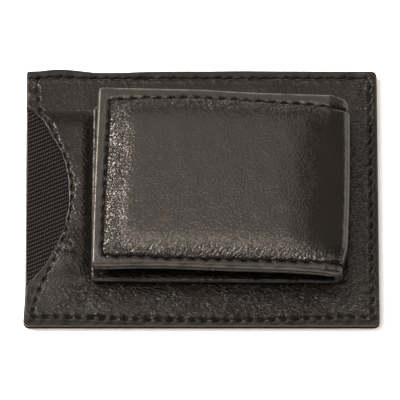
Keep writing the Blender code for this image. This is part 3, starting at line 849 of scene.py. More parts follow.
def makeRearLeather():
    look = rearLook
    u, v, edge = bodyGrid(leftEdge, rightEdge, bodyLow, bodyHigh, look["fine"], look["coarse"])
    inNotch = ease(v, *look["notchLow"]) * (1 - ease(v, *look["notchHigh"]))
    inNotch = inNotch * (1 - ease(u - leftEdge(v), *look["notchRim"]))
    atRight = ease(u, *look["rightSide"])
    sewnFall = look["edgeFall"] * roundedEdge(edge, look["edgeRound"])
    height = body["rearTop"] - mix(sewnFall, wornEdge(edge, look["notchEdge"]), inNotch)
    nearEdge = 1 - ease(edge, *look["edgeInkReach"])
    inkedAndShaded = look["edgeInk"] * nearEdge * (u > look["edgeInkFrom"])
    inkedAndShaded = inkedAndShaded + look["sewnInk"] * nearEdge * (1 - inNotch)
    for path, seam in bodySeams:
        away, travelled = besidePath(u, v, path)
        height = height + seamRelief(away, travelled, seam) * ease(edge, *seam["fade"])
        # Painted shade in the deeper needle holes and along the thread's channel
        inkedAndShaded = np.maximum(inkedAndShaded, nearHole(away, travelled, seam) * (seam["hole"] > look["shadedHoleDepth"]))
        inkedAndShaded = np.maximum(inkedAndShaded, seam["channelShade"] * overThread(away, travelled, seam, look["channelShadeWidth"]))
    edgeAway, _ = besidePath(u, v, edgePath)
    height = height + swell(u, v, -edgeAway)
    height = height - mix(*look["marginFall"], atRight) * ease(edgeAway, *look["marginReach"])
    # Painted shade over the lower left corner
    cornerShade = look["cornerShade"] * ease(-u, *look["cornerLeft"]) * ease(-v, *look["cornerLow"])
    inkedAndShaded = np.maximum(inkedAndShaded, cornerShade)
    # The leather is darker outside the seam
    inkedAndShaded = np.maximum(inkedAndShaded, mix(*look["marginDark"], atRight) * ease(edgeAway, *look["marginDarkReach"]))
    high, span, seed = look["waves"]
    height = height + high * drift(u, v, span, seed) * ease(edge, *look["wavesReach"])
    high, span, seed = look["marginWaves"]
    margin = high * drift(u, v, span, seed) * (1 - ease(edge, *look["marginBand"]))
    height = height + margin * ease(edge, *look["marginRim"])
    height = np.maximum(height, body["rearTop"] - look["thickness"] + look["thinnest"])

    below = (1 - ease(v, *look["belowTop"])) * ease(v, *look["belowFoot"]) * ease(u, *look["belowLeft"])
    faint = mix(*look["belowFaint"], ease(u, *look["faintAcross"]))
    below = below * mix(1, faint, 1 - ease(v, *look["faintUp"]))
    worked = below * patchy(u, v, look["belowDrift"]) + look["rightWorked"] * ease(u, *look["rightFrom"])
    beside = bell(u, *look["besideAt"]) * ease(v, *look["besideLow"]) * (1 - ease(v, *look["besideHigh"]))
    worked = worked + look["beside"] * beside
    bent = bell(u, *look["bentAcross"]) * bell(v, *look["bentUp"])
    streaked = look["rightStreaks"] * ease(u, *look["streaksIn"]) * (1 - ease(u, *look["streaksOut"]))
    streaked = streaked + look["lowStreaks"] * ease(edgeAway, *look["lowReach"]) * (v < look["lowBelow"])
    wearAndHighlight = look["wearAndHighlight"] * (1 - ease(edge, *look["wearReach"])) * patchy(u, v, look["wearDrift"]).clip(0, 1)
    marks = {
        "worked": worked.clip(0, 1),
        "bent": bent.clip(0, 1),
        "streaked": streaked.clip(0, 1),
        "wearAndHighlight": wearAndHighlight,
        "inkedAndShaded": inkedAndShaded.clip(0, 1),
    }
    back = body["rearTop"] - look["thickness"]
    finishes = (drumDyedNappa, inkedEdge)
    piece = closedSheet(
        "rearLeather", u, v, height, back, look["rim"], marks=marks, finishes=finishes, rimFinish=1
    )
    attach(piece, "root")
    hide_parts("rear_panel")


# Height of the face and of the back, spacing of the points, how far inside the body's outline it is
# cut, and the steps of its rim
liningLayer = {
    "heights": (2.9, 2.7),
    "spacing": (0.6, 1.5),
    "inset": 0.4,
    "rim": ((0.03, 0.5), (0.0, 1.0)),
}
twillLayer = {
    "heights": (2.4, 2.0),
    "spacing": (0.6, 1.2),
    "inset": 0.4,
    "rim": ((0.05, 0.4), (0.05, 0.7), (0.0, 1.0)),
    "waves": (0.03, 12, 21),
}


def makeRearLining():
    inset = liningLayer["inset"]
    low, high = bodyLow + inset, bodyHigh - inset
    u, v, _ = bodyGrid(leftEdge, rightEdge, low, high, *liningLayer["spacing"], inset=inset)
    face, back = liningLayer["heights"]
    height = np.full(u.shape, face)
    piece = closedSheet("rearLiningCloth", u, v, height, back, liningLayer["rim"], finishes=(liningCloth,))
    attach(piece, "root")
    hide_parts("rear_panel_lining")


def makeTwillWall():
    inset = twillLayer["inset"]
    low, high = bodyLow + inset, bodyHigh - inset
    u, v, _ = bodyGrid(plainLeft, rightEdge, low, high, *twillLayer["spacing"], inset=inset)
    face, back = twillLayer["heights"]
    wave, span, seed = twillLayer["waves"]
    height = face + wave * drift(u, v, span, seed)
    piece = closedSheet("twillWall", u, v, height, back, twillLayer["rim"], finishes=(ribbedPolyester,))
    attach(piece, "root")
    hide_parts("card_pocket_wall")


frontLook = {
    # Piece: its node, height of its face, its upper edge, height of its back, whether its upper
    # corners are rounded, and its seed. Their worked faces look down.
    "layers": {
        "frontLeather": ("front_panel", 1.3, bodyHigh, 1.8, True, 31),
        "slotUpper": ("front_slot_upper", 0.65, bodyHigh - 14, 1.1, False, 32),
        "slotLower": ("front_slot_lower", 0.0, bodyHigh - 28, 0.45, False, 33),
    },
    "spacing": (0.35, 0.9),
    "edgeRound": 0.35,
    "edgeFall": 0.75,
    "creaseLine": (0.08, 1.6, 0.3),  # depth, distance from a slot's mouth, and width of its pressed line
    "worked": (0.25, 0.25, 16),  # mean, spread and span
    "wearAndHighlight": 0.5,
    "wearReach": (0.1, 0.5),
    # Each step of the rim is how far out it stands, and its share of the way to the lip
    "rim": ((0.08, 0.3), (0.12, 0.6), (0.06, 0.88), (-0.05, 1.0)),
    "turnedIn": (-0.28, -0.36),  # how far in the front leather's turned edge goes back
    "lip": (2.85, 2.3),  # how high that edge stands, and how high across the notch
    "notchLow": (-28.5, -27),
    "notchHigh": (27, 28.5),
    "notchLeft": -40,
}


def frontSheet(low, high, roundTop, seed):
    # One leather of the front, its sewn edge turned up towards the rear
    look = frontLook
    u, v, edge = bodyGrid(plainLeft, rightEdge, bodyLow, high, *look["spacing"], roundTop=roundTop)
    height = low + look["edgeFall"] * roundedEdge(edge, look["edgeRound"])
    away, travelled = besidePath(u, v, edgePath)
    height = height - seamRelief(away, travelled, frontSeam) * ease(edge, *frontSeam["fade"])
    if high < bodyHigh:
        depth, place, width = look["creaseLine"]
        height = height + depth * bell(high - v, place, width)
    worked = patchy(u, v, (*look["worked"], seed)).clip(0, 1)
    wearAndHighlight = look["wearAndHighlight"] * (1 - ease(edge, *look["wearReach"]))
    return u, v, height, {"worked": worked, "wearAndHighlight": wearAndHighlight}


def makeFront():
    look = frontLook
    for name, (node, low, high, top, roundTop, seed) in look["layers"].items():
        u, v, height, marks = frontSheet(low, high, roundTop, seed)
        rise, turned = 1.0, []
        if name == "frontLeather":
            # The turned edge closes over the layers, and stays low across the notch
            ring = perimeter(*u.shape)
            ringU, ringV, ringHeight = u.ravel()[ring], v.ravel()[ring], height.ravel()[ring]
            inNotch = ease(ringV, *look["notchLow"]) * (1 - ease(ringV, *look["notchHigh"]))
            lip = mix(*look["lip"], inNotch * (ringU < look["notchLeft"]))
            rise = (lip - ringHeight) / (top - ringHeight)
            turned = [(look["turnedIn"][0], rise), (look["turnedIn"][1], 1.0)]
        rim = [(outset, share * rise) for outset, share in look["rim"]] + turned
        piece = closedSheet(name, u, v, height, top, rim, marks=marks, finishes=(drumDyedNappa,))
        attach(piece, "root")
        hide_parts(node)


# Stitches

threadLook = {
    "radius": 0.23,
    "sides": 10,
    "rings": 11,
    "dip": 0.42,  # how far the thread goes down into its holes
    "archPower": 0.6,  # how soon it rises out of them
    "endShare": 0.62,  # its thickness there, as a share
    "ply": 0.05,  # how far its three plies stand out, and how long one turn of them is
    "plyPitch": 1.1,
    "askew": 0.03,  # how unevenly the stitches lie and how uneven they are
    "uneven": 0.04,
    "shortest": 0.6,  # a seam's last stitch is sewn if this share of it has room
    "crease": 70,  # degrees between faces that show as an edge
}


def sewStitches(name, runs, seed):
    # Thread in single stitches: each rises from one needle hole, lies over the leather a little askew,
    # and goes down the next. Where a seam is pulled tight only the bunched ends stand out of the holes.
    look = threadLook
    sides, rings = look["sides"], look["rings"]
    dice = np.random.default_rng(seed)
    places, faces, maps = [], [], []
    total = 0
    around = np.linspace(0, fullTurn, sides, endpoint=False)
    t = np.linspace(0, 1, rings)
    arch = np.sin(math.pi * t) ** look["archPower"]
    for path, seam, lift, surface in runs:
        run = arcLengths(path)
        stitch = seam["stitch"]
        share = 0.5 + seam["visible"] * (t - 0.5)
        for start in np.arange(0, run[-1] - stitch * look["shortest"], stitch):
            along = np.clip(start + stitch * share, 0, run[-1])
            u, v = np.interp(along, run, path[:, 0]), np.interp(along, run, path[:, 1])
            # The seam's heading, from half a step of its path on either side
            ahead = np.clip(along + 0.05, 0, run[-1])
            behind = np.clip(along - 0.05, 0, run[-1])
            tu = np.interp(ahead, run, path[:, 0]) - np.interp(behind, run, path[:, 0])
            tv = np.interp(ahead, run, path[:, 1]) - np.interp(behind, run, path[:, 1])
            size = np.hypot(tu, tv)
            tu, tv = tu / size, tv / size
            sideways = seam["lean"] * stitch * (share - 0.5) + dice.normal(0, look["askew"])
            sideways = sideways + seam["scallop"] * (1 - (2 * share - 1) ** 2)
            thickness = look["endShare"] + (1 - look["endShare"]) * arch + seam["knot"] * (1 - arch)
            radius = seam["threadShare"] * look["radius"] * thickness * (1 + dice.normal(0, look["uneven"]))
            height = surface(u, v) + seam["rise"] - look["dip"] * (1 - arch) * (1 - seam["knot"])
            ply = 1 + look["ply"] * np.cos(3 * around[None, :] - fullTurn * along[:, None] / look["plyPitch"])
            ring = radius[:, None] * ply
            across = sideways[:, None] + ring * np.cos(around)
            pu = u[:, None] - tv[:, None] * across
            pv = v[:, None] + tu[:, None] * across
            pn = height[:, None] + ring * np.sin(around)
            places.append(np.column_stack(lift(pu.ravel(), pv.ravel(), pn.ravel())))
            mapAround = np.broadcast_to(around * look["radius"], pu.shape)
            maps.append(np.column_stack([mapAround.ravel(), np.repeat(along, sides)]))
            for row in range(total, total + (rings - 1) * sides, sides):
                for side in range(sides):
                    a, b = row + side, row + (side + 1) % sides
                    faces.append((a, b, b + sides, a + sides))
            faces.append(tuple(range(total, total + sides)))
            total += sides * rings
            faces.append(tuple(range(total - sides, total)))
    mesh = bpy.data.meshes.new(name)
    mesh.from_pydata((np.vstack(places) * millimetre).tolist(), [], faces)
    piece = finishMesh(name, mesh, np.vstack(maps), (bondedThread,), crease=look["crease"])
    return piece


def flatLift(x, y, z):
    return x, y, z


def makeBodyStitches():
    def rearFace(x, y):
        return np.full(np.shape(x), body["rearTop"])

    def frontFace(x, y):
        # The face of the front leather that is outermost there, measured downward
        middle = float(np.mean(y))
        faces = [low for _, low, high, *_ in frontLook["layers"].values() if middle < high]
        return np.full(np.shape(x), -min(faces))

    def downLift(x, y, n):
        return x, y, -n

    rearRuns = [(path, seam, flatLift, rearFace) for path, seam in bodySeams[:3]]
    rearStitches = sewStitches("perimeterStitchesRear", rearRuns, 41)
    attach(rearStitches, "root")
    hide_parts("perimeter_seam")

    frontStitches = sewStitches("perimeterStitchesFront", [(edgePath, frontThread, downLift, frontFace)], 42)
    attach(frontStitches, "root")

    notchStitches = sewStitches("notchStitches", [(notchPath, notchSeam, flatLift, rearFace)], 43)
    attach(notchStitches, "root")
    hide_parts("notch_seam")


# The clip's strap

strapSeam = {
    **bodySeam,
    "stitch": 3.65,
    # Distance beyond the fold, and how far in from the back and from the front edge the seam runs there
    "backInsets": (
        (-3.0, 3.9), (0.8, 3.75), (3.7, 3.36), (8.1, 3.05), (12.4, 2.96), (19.7, 2.6),
        (28.4, 2.37), (37.0, 2.28), (45.7, 2.5), (54.4, 2.93), (63.1, 3.5),
    ),
    "frontInsets": (
        (-0.6, 2.75), (3.7, 2.55), (8.1, 2.4), (28.0, 2.3), (37.0, 2.2), (46.0, 2.1),
        (54.4, 2.6), (63.1, 2.95),
    ),
    "endInsets": (3.3, 2.6),  # from the flap's free end, at the back and at the front
    "baseInset": 2.6,
    "pastFold": 3.0,  # how far into the fold the seams go
    "wander": 0.1,
    "wanderSpan": 5.0,
    "turn": 0.9,
    "fade": (0.2, 1.2),
    "channel": 0.42,
    "channelWidth": 0.2,
    "hole": 0.5,
    "holeWidth": 0.42,
    "holeShare": 0.7,
    "pucker": 0.3,
    "threadShare": 0.7,
    "hemDip": 0.2,  # how far the hem falls towards the seam, and how wide that is
    "hemDipWidth": 1.1,
    "lean": 0.08,
    "scallop": -0.18,
    "visible": 1.0,
    "rise": -0.2,
    "swell": 0.07,
    "swellAt": 0.95,
}
liningSeam = {**strapSeam, "fade": (0.3, 1.2), "channel": 0.25, "hole": 0.15, "swell": 0.05}
flapThread = {**strapSeam, "visible": 0.86}
baseThread = {**strapSeam, "visible": 0.86, "rise": -0.1}
crownShape = {
    "height": 1.55,
    "dome": 0.4,  # how much more it rises in its middle
    "endReach": 10.5,  # how far in from each seam, and from the fold, it comes to its height
    "sideReach": 9.5,
    "foldReach": 17.0,
    "power": 2.5,  # how steeply it starts
    "waves": (0.02, 9, 61),
    "wavesReach": (0.3, 2.5),
}
foldShape = {
    "power": (2.6, 7.5),  # how square the fold's lower and upper halves are, where 2 is round
    "powerTurn": (0.3, 0.6),  # shares of the fold between which the one turns into the other
    "fall": 0.26,  # slope of its upper side towards the right
    "fallTurn": (0.45, 0.7),
    "sideBow": (0.15, 0.5),  # how far its edge bows out in the middle, and draws in towards its ends
    "sideReach": 24,
    "backPull": 0.45,  # how far it sinks outside the seams at the back and at the front
    "backPullReach": (-1.0, 0.5),
    "frontPull": 1.3,
    "frontPullReach": (-6.5, 0.5),
    "crease": 0.55,  # how much further it sinks along them
    "creaseWidth": 0.6,
    "tuck": 1.45,  # how far the back edge is drawn in where it goes over the fold
    "tuckPower": 1.8,
    # Distance beyond the fold, and how far the back and the front edge draw in there
    "backBow": (
        (0.0, 0.3), (12.0, 0.28), (20.0, 0.25), (28.4, 0.05), (37.0, -0.28), (46.0, -0.2), (60.0, -0.1),
    ),
    "frontBow": (
        (-0.6, -0.35), (3.7, 0.0), (8.1, 0.18), (12.4, 0.3), (28.4, 0.3), (45.7, 0.5), (54.4, 0.3),
        (63.1, -0.2),
    ),
    "bowReach": 8,  # how far in from the edges that is felt
    "baseCorner": 1.3,  # how far the lower leaf's back corner draws in, over what length
    "baseCornerReach": 8,
    "endBow": 0.3,  # how far the free end bows out, where, and over what half width
    "endBowAt": -6,
    "endBowReach": 30,
    "round": (0.6, 1.0),  # rounding of the lower and the upper leaf's edges
    "endEdge": {"width": 0.5, "slope": 0.38, "round": 0.2},
    "endEdgeReach": (1.0, 3.6),  # how far from the back corner it begins
    "baseEdge": {"width": 0.45, "slope": 0.38, "round": 0.15},
    "backEdge": {"width": 0.32, "slope": 0.6, "round": 0.12},
    "backEdgeFrom": (0, 5),  # across the strap, and before the fold's end
    "backEdgeFold": (-6, 0),
    "sewnFrom": (-1, 4),  # from where the fold starts, its seam sinks into the leather
    "hemDipFold": (0, 6),  # beyond the fold, before the free end and in from the edge, where the hem falls
    "hemDipEnd": (4.0, 6.0),
    "hemDipEdge": (0.3, 1.2),
    "crownFold": (-2, 1),  # where the crown comes in at the fold's end
}


def foldBulge(share):
    # The fold is squarer than a half circle: how far it stands out beyond one
    power = mix(*foldShape["power"], ease(share, *foldShape["powerTurn"]))
    bend = math.pi * share
    fall = foldShape["fall"] * ease(share, *foldShape["fallTurn"])
    spread = np.abs(fall * np.sin(bend) - np.cos(bend)) ** power + np.abs(np.sin(bend)) ** power
    return strap["foldRadius"] * (spread ** (-1 / power) - 1)


def strapLift(a, q, n):
    # From the flat strap, a along it from the lower leaf's free end, q across it and n out from its
    # outer face, to where the folded strap has that point
    look = foldShape
    run = a - foldStart
    bend = np.clip(run / strap["foldRadius"], 0, math.pi)
    straight = np.minimum(run, 0) - np.maximum(a - foldEnd, 0)
    x = straight + (strap["foldRadius"] + n) * np.sin(bend)
    z = strap["foldMiddle"] - (strap["foldRadius"] + n) * np.cos(bend)
    turn = mix(strap["baseTurn"], strap["flapTurn"], ease(bend, 0, math.pi))
    upper = np.maximum(a - foldEnd, 0) / strap["flapLength"]
    x = x - look["endBow"] * upper**2 * (1 - ((q - look["endBowAt"]) / look["endBowReach"]) ** 2)
    outBow, inBow = look["sideBow"]
    x = x + np.sin(bend) * (outBow - inBow * (q / look["sideReach"]) ** 2)
    beyond = a - foldEnd
    upperSide = ease(bend, math.pi / 2, math.pi)
    tuck = look["tuck"] * np.sin(bend) ** look["tuckPower"]
    backIn = np.interp(beyond, *zip(*look["backBow"])) * upperSide + tuck
    frontIn = np.interp(beyond, *zip(*look["frontBow"])) * upperSide
    backIn = backIn + look["baseCorner"] * (1 - ease(a, 0, look["baseCornerReach"]))
    inner = halfStrap - look["bowReach"]
    q = q - backIn * ease(q, inner, halfStrap) + frontIn * ease(-q, inner, halfStrap)
    pivotX, pivotY = strap["pivot"]
    return pivotX + x * np.cos(turn) - q * np.sin(turn), pivotY + x * np.sin(turn) + q * np.cos(turn), z


def foldShare(a):
    return np.clip((a - foldStart) / (foldEnd - foldStart), 0, 1)


def strapThickness(a):
    bend = math.pi * foldShare(a)
    return mix(strap["baseThickness"], strap["flapThickness"], (1 - np.cos(bend)) / 2)


def strapGrid(fine, coarse, baseCoarse, outset=0.0):
    # Places over the whole strap with its four corners rounded, and each one's distance from the edge.
    # They stand close together within 4.6 mm of its ends and 4 mm of its sides, and on the fold.
    radius = strap["corner"]
    margin, sideMargin = 4.6, 4.0
    end = np.linspace(0, margin, round(margin / fine) + 1)
    lower = np.linspace(margin, foldStart, round((foldStart - margin) / baseCoarse) + 1)[1:]
    fold = np.linspace(foldStart, foldEnd, round((foldEnd - foldStart) / (coarse * 0.75)) + 1)[1:]
    upper = np.linspace(foldEnd, strapLength - margin, round((strap["flapLength"] - margin) / coarse) + 1)[1:]
    a = np.concatenate([end, lower, fold, upper, strapLength - end[::-1][1:]])
    a = -outset + a * (strapLength + 2 * outset) / strapLength
    half = halfStrap + outset - roundedEdge(np.minimum(a + outset, strapLength + outset - a), radius)
    # From -1 at the front edge to 1 at the back edge
    share = stations(2.0, fine / halfStrap, coarse / halfStrap, sideMargin / halfStrap) - 1
    q = half[:, None] * share
    a = np.broadcast_to(a[:, None], q.shape)
    fromEnd = np.minimum(a + outset, strapLength + outset - a)
    fromSide = halfStrap + outset - np.abs(q)
    cornerA, cornerQ = radius - fromEnd, radius - fromSide
    inCorner = (cornerA > 0) & (cornerQ > 0)
    edge = np.where(inCorner, radius - np.hypot(cornerA, cornerQ), np.minimum(fromEnd, fromSide))
    return a, q, np.maximum(edge, 0)


def backSeamAt(a):
    return halfStrap - np.interp(a - foldEnd, *zip(*strapSeam["backInsets"]))


def frontSeamAt(a):
    return np.interp(a - foldEnd, *zip(*strapSeam["frontInsets"])) - halfStrap


def flapSeamPath():
    # From under the fold at the back, over it, along the flap, round its free end and back
    look = strapSeam
    backEnd, frontEnd = strapLength - look["endInsets"][0], strapLength - look["endInsets"][1]
    back, front = backSeamAt(backEnd), frontSeamAt(frontEnd)
    turn = look["turn"]
    start = foldStart + look["pastFold"]

    def wander(a, seed):
        return look["wander"] * float(drift(a, 0.0, look["wanderSpan"], seed))

    upper = [(a, backSeamAt(a) + wander(a, 71)) for a in np.linspace(start, backEnd - turn, 60)]
    endShares = np.linspace(0, 1, 16)
    end = [(mix(backEnd, frontEnd, share), mix(back - turn, front + turn, share)) for share in endShares]
    lower = [(a, frontSeamAt(a) + wander(a, 72)) for a in np.linspace(frontEnd - turn, start, 60)]
    return smoothPath([*upper, *end, *lower])


flapPath = flapSeamPath()


def crown(a, q):
    # Height of the padded crown over the hem, from the seam inward
    look = strapSeam
    atBack, atFront = look["endInsets"]
    fromEnd = strapLength - a - mix(atFront, atBack, (q + halfStrap) / strap["width"])
    fromBack = backSeamAt(a) - q
    fromFront = q - frontSeamAt(a)
    fromFold = a - foldEnd

    def slope(distance, reach):
        return 1 - (1 - np.clip(distance / reach, 0, 1)) ** crownShape["power"]

    shape = slope(fromEnd, crownShape["endReach"]) * slope(fromFold, crownShape["foldReach"])
    shape = shape * slope(fromBack, crownShape["sideReach"]) * slope(fromFront, crownShape["sideReach"])
    along = np.clip(fromEnd / (fromEnd + fromFold), 0, 1)
    across = np.clip(fromBack / (fromBack + fromFront), 0, 1)
    dome = 16 * along * (1 - along) * across * (1 - across)  # 1 in the middle
    return crownShape["height"] * shape + crownShape["dome"] * np.clip(dome, 0, 1) * (shape > 0)


padLook = {
    "margin": 4.3,  # how far in from the strap's edges it ends, and how far beyond the fold it starts
    "foldGap": 4.2,
    "spacing": (0.4, 1.0, 3.0),  # of its points near its edges and inside, and how wide the edges are
    "edgeRound": 0.8,
    "edgeFall": 0.7,
    "thinnest": 0.1,
    "cover": 1.1,  # the leather over it and the glue between
    "slack": 0.35,  # how much smaller it starts than its cover
    "board": -1.98,  # height of the board that it lies on
    "scale": 10,  # it is simulated at this size
    "voxel": 0.006,  # in metres at that size
    "pressure": 4.0,
    "frames": 20,
    "reach": 0.5,  # how far a point may move
    "show": 0.4,  # share of its form that shows through the leather
    "smoothing": 40,  # how often the leather's stiffness evens it out
    # Where it is felt: distances beyond the fold and inside the seam
    "felt": (5, 2.2),
    "feltFold": (4, 12),
    "feltSeam": (1.8, 5.5),
}


def foamBlock():
    # The pad before it swells, on the flat strap
    look = padLook
    margin, foldGap = look["margin"], look["foldGap"]
    alongPad = foldEnd + foldGap + stations(strap["flapLength"] - foldGap - margin, *look["spacing"])
    across = stations(strap["width"] - 2 * margin, *look["spacing"]) - (halfStrap - margin)
    a, q = np.meshgrid(alongPad, across, indexing="ij")
    fromEnds = np.minimum(a - alongPad[0], alongPad[-1] - a)
    edge = np.minimum(fromEnds, np.minimum(q - across[0], across[-1] - q))
    fall = look["edgeFall"] * roundedEdge(edge, look["edgeRound"])
    top = crown(a, q) - look["cover"] - look["slack"] - fall
    top = np.maximum(top, look["board"] + look["thinnest"])
    return closedSheet("foamBlock", a, q, top, look["board"], ((0.02, 0.5), (0.0, 1.0)))


def pointsOf(mesh):
    flat = np.zeros(len(mesh.vertices) * 3)
    mesh.vertices.foreach_get("co", flat)
    return flat.reshape(-1, 3)


def swollenFoam():
    # The foam swells under pressure until its cover holds it, and lies flat on its board
    look = padLook
    block = foamBlock()
    unit = millimetre * look["scale"]
    start = pointsOf(block.data) * look["scale"]
    middle = start.mean(axis=0)
    block.data.vertices.foreach_set("co", (start - middle).ravel())
    remesh = block.modifiers.new("remesh", "REMESH")
    remesh.mode = "VOXEL"
    remesh.voxel_size = look["voxel"]
    shape = bpy.context.evaluated_depsgraph_get()
    block.data = bpy.data.meshes.new_from_object(block.evaluated_get(shape))
    block.modifiers.clear()
    start = pointsOf(block.data) + middle
    cloth = block.modifiers.new("swelling", "CLOTH")
    cloth.settings.use_pressure = True
    cloth.settings.uniform_pressure_force = look["pressure"]
    cloth.settings.effector_weights.gravity = 0
    cloth.point_cache.frame_start, cloth.point_cache.frame_end = 1, look["frames"]
    for moment in range(1, look["frames"] + 1):
        bpy.context.scene.frame_set(moment)
    shape = bpy.context.evaluated_depsgraph_get()
    swollen = bpy.data.meshes.new_from_object(block.evaluated_get(shape))
    moved = pointsOf(swollen) + middle - start
    bpy.context.scene.frame_set(1)
    length = np.maximum(np.linalg.norm(moved, axis=1), 1e-9)[:, None]
    start = start + moved * np.minimum(1, look["reach"] * unit / length)
    places = start / unit
    places[:, 2] = np.maximum(places[:, 2], look["board"])
    faces = [list(face.vertices) for face in block.data.polygons]
    bpy.data.objects.remove(block)
    return places, faces


foamPlaces, foamFaces = swollenFoam()
print("foam swollen:", len(foamFaces), "faces")


def overFoam(a, q, fromSeam):
    # How far the swollen foam lifts or lowers the leather from its plain crown
    look = padLook
    tree = BVHTree.FromPolygons(foamPlaces.tolist(), foamFaces)
    down = Vector((0, 0, -1))
    wellAbove = 9.0
    plain = crown(a, q)
    lift = np.zeros(a.shape)
    pastFold, insideSeam = look["felt"]
    for spot in zip(*np.nonzero((a > foldEnd + pastFold) & (fromSeam > insideSeam))):
        found = tree.ray_cast(Vector((a[spot], q[spot], wellAbove)), down)[0]
        if found:
            lift[spot] = found.z + look["cover"] - plain[spot]
    for _ in range(look["smoothing"]):
        lift[1:-1] = (lift[:-2] + 2 * lift[1:-1] + lift[2:]) / 4
        lift[:, 1:-1] = (lift[:, :-2] + 2 * lift[:, 1:-1] + lift[:, 2:]) / 4
    return look["show"] * lift * ease(fromSeam, *look["feltSeam"]) * easeFrom(a, foldEnd, look["feltFold"])


def outerFace(a, q, edge):
    # Height of the outer leather's face over the flat strap
    look = foldShape
    share = foldShare(a)
    # Edges: rounded, and worn flat at the back, at the free end and at the lower leaf's end
    atSide = halfStrap - np.abs(q)
    atEnd = ease(atSide - strapLength + a, 0, 1) * (a > foldEnd) * ease(halfStrap - q, *look["endEdgeReach"])
    atBase = ease(atSide - a, 0, 1) * (a < foldStart)
    height = -roundedEdge(edge, mix(*look["round"], share))
    atBack = ease(q, *look["backEdgeFrom"]) * easeFrom(a, foldEnd, look["backEdgeFold"])
    height = mix(height, -wornEdge(edge, look["backEdge"]), atBack)
    height = mix(height, -wornEdge(edge, look["endEdge"]), atEnd)
    height = mix(height, -wornEdge(edge, look["baseEdge"]), atBase)
    # The seam, which starts in the fold, and the hem that falls towards it, less so at the free end
    away, travelled = besidePath(a, q, flapPath)
    sewn = easeFrom(a, foldStart, look["sewnFrom"])
    height = height + seamRelief(away, travelled, strapSeam) * sewn * ease(edge, *strapSeam["fade"])
    dip = bell(away, 0, strapSeam["hemDipWidth"]) * (away > 0) * easeFrom(a, foldEnd, look["hemDipFold"])
    dip = dip * ease(strapLength - a, *look["hemDipEnd"])
    height = height - strapSeam["hemDip"] * dip * ease(edge, *look["hemDipEdge"])
    # The fold, pulled in at its two seams
    backPlace, frontPlace = backSeamAt(foldEnd), -frontSeamAt(foldEnd)
    pull = look["backPull"] * easeFrom(q, backPlace, look["backPullReach"])
    pull = pull + look["frontPull"] * easeFrom(-q, frontPlace, look["frontPullReach"])
    creases = bell(q, backPlace, look["creaseWidth"]) + bell(q, -frontPlace, look["creaseWidth"])
    height = height - np.sin(math.pi * share) * (pull + look["crease"] * creases) + foldBulge(share)
    # The padded crown
    upper = easeFrom(a, foldEnd, look["crownFold"])
    height = height + crown(a, q) * upper + overFoam(a, q, -away)
    wave, span, seed = crownShape["waves"]
    return height + wave * drift(a, q, span, seed) * ease(edge, *crownShape["wavesReach"]) * upper


# The strap's outer leather: spacing of its points, its rim, its thickness and its marks
strapLook = {
    "spacing": (0.16, 0.5, 1.6),  # near its edges, on the fold and the flap, and on the lower leaf
    "rim": ((0.04, 0.25), (0.06, 0.5), (0.05, 0.75), (0.01, 0.92), (-0.12, 1.0)),
    "thickness": 0.85,
    "thickFold": (-4, 0),  # before the fold's end, where its back begins to follow its face
    "room": (3.0, 4.2),  # how far in from its edge it leaves the pad its room
    "flapFrom": (-6, 4),  # where the flap's creases and ink come in, about the fold's end
    "foldWorked": (0.8, 3.5),  # creases inside the seam: how strong and how far in
    "endWorked": (0.8, 3.5, 12.0, 1.4),  # at the free end: strength, from and to where, and its power
    "wearAndHighlight": 0.7,
    "wearAt": (0.25, 0.25),  # distance from the edge, and width
    "wearDrift": (0.6, 0.4, 5, 63),
    # Painted shade along the thread's channel and in the needle holes, a darker hem, and painted shade on the
    # whole lower leaf
    "threadShade": (0.8, 0.2),
    "holeShade": 0.9,
    "hemDark": (0.75, 0.8),  # in front and at the back
    "hemBack": (12, 22),
    "frontDark": (0.6, 1.0),  # share of it at the front edge, and further in
    "frontReach": (2, 10),
    "hemReach": (0.3, 0.6),
    "hemEnd": (1.8, 2.6),
    "creaseShadeLine": (0.9, 0.62, 0.2),  # strength, distance from the back edge, and width of a line of painted shade
    "leafReach": (0.5, 1.2),  # how far in from the lower leaf's edge, and up to where on the fold
    "leafEnd": (-1, 2),
    "tautReach": (-16.0, -5.0),  # pulled smooth over the fold, which fades out 5 to 16 mm beyond it
}


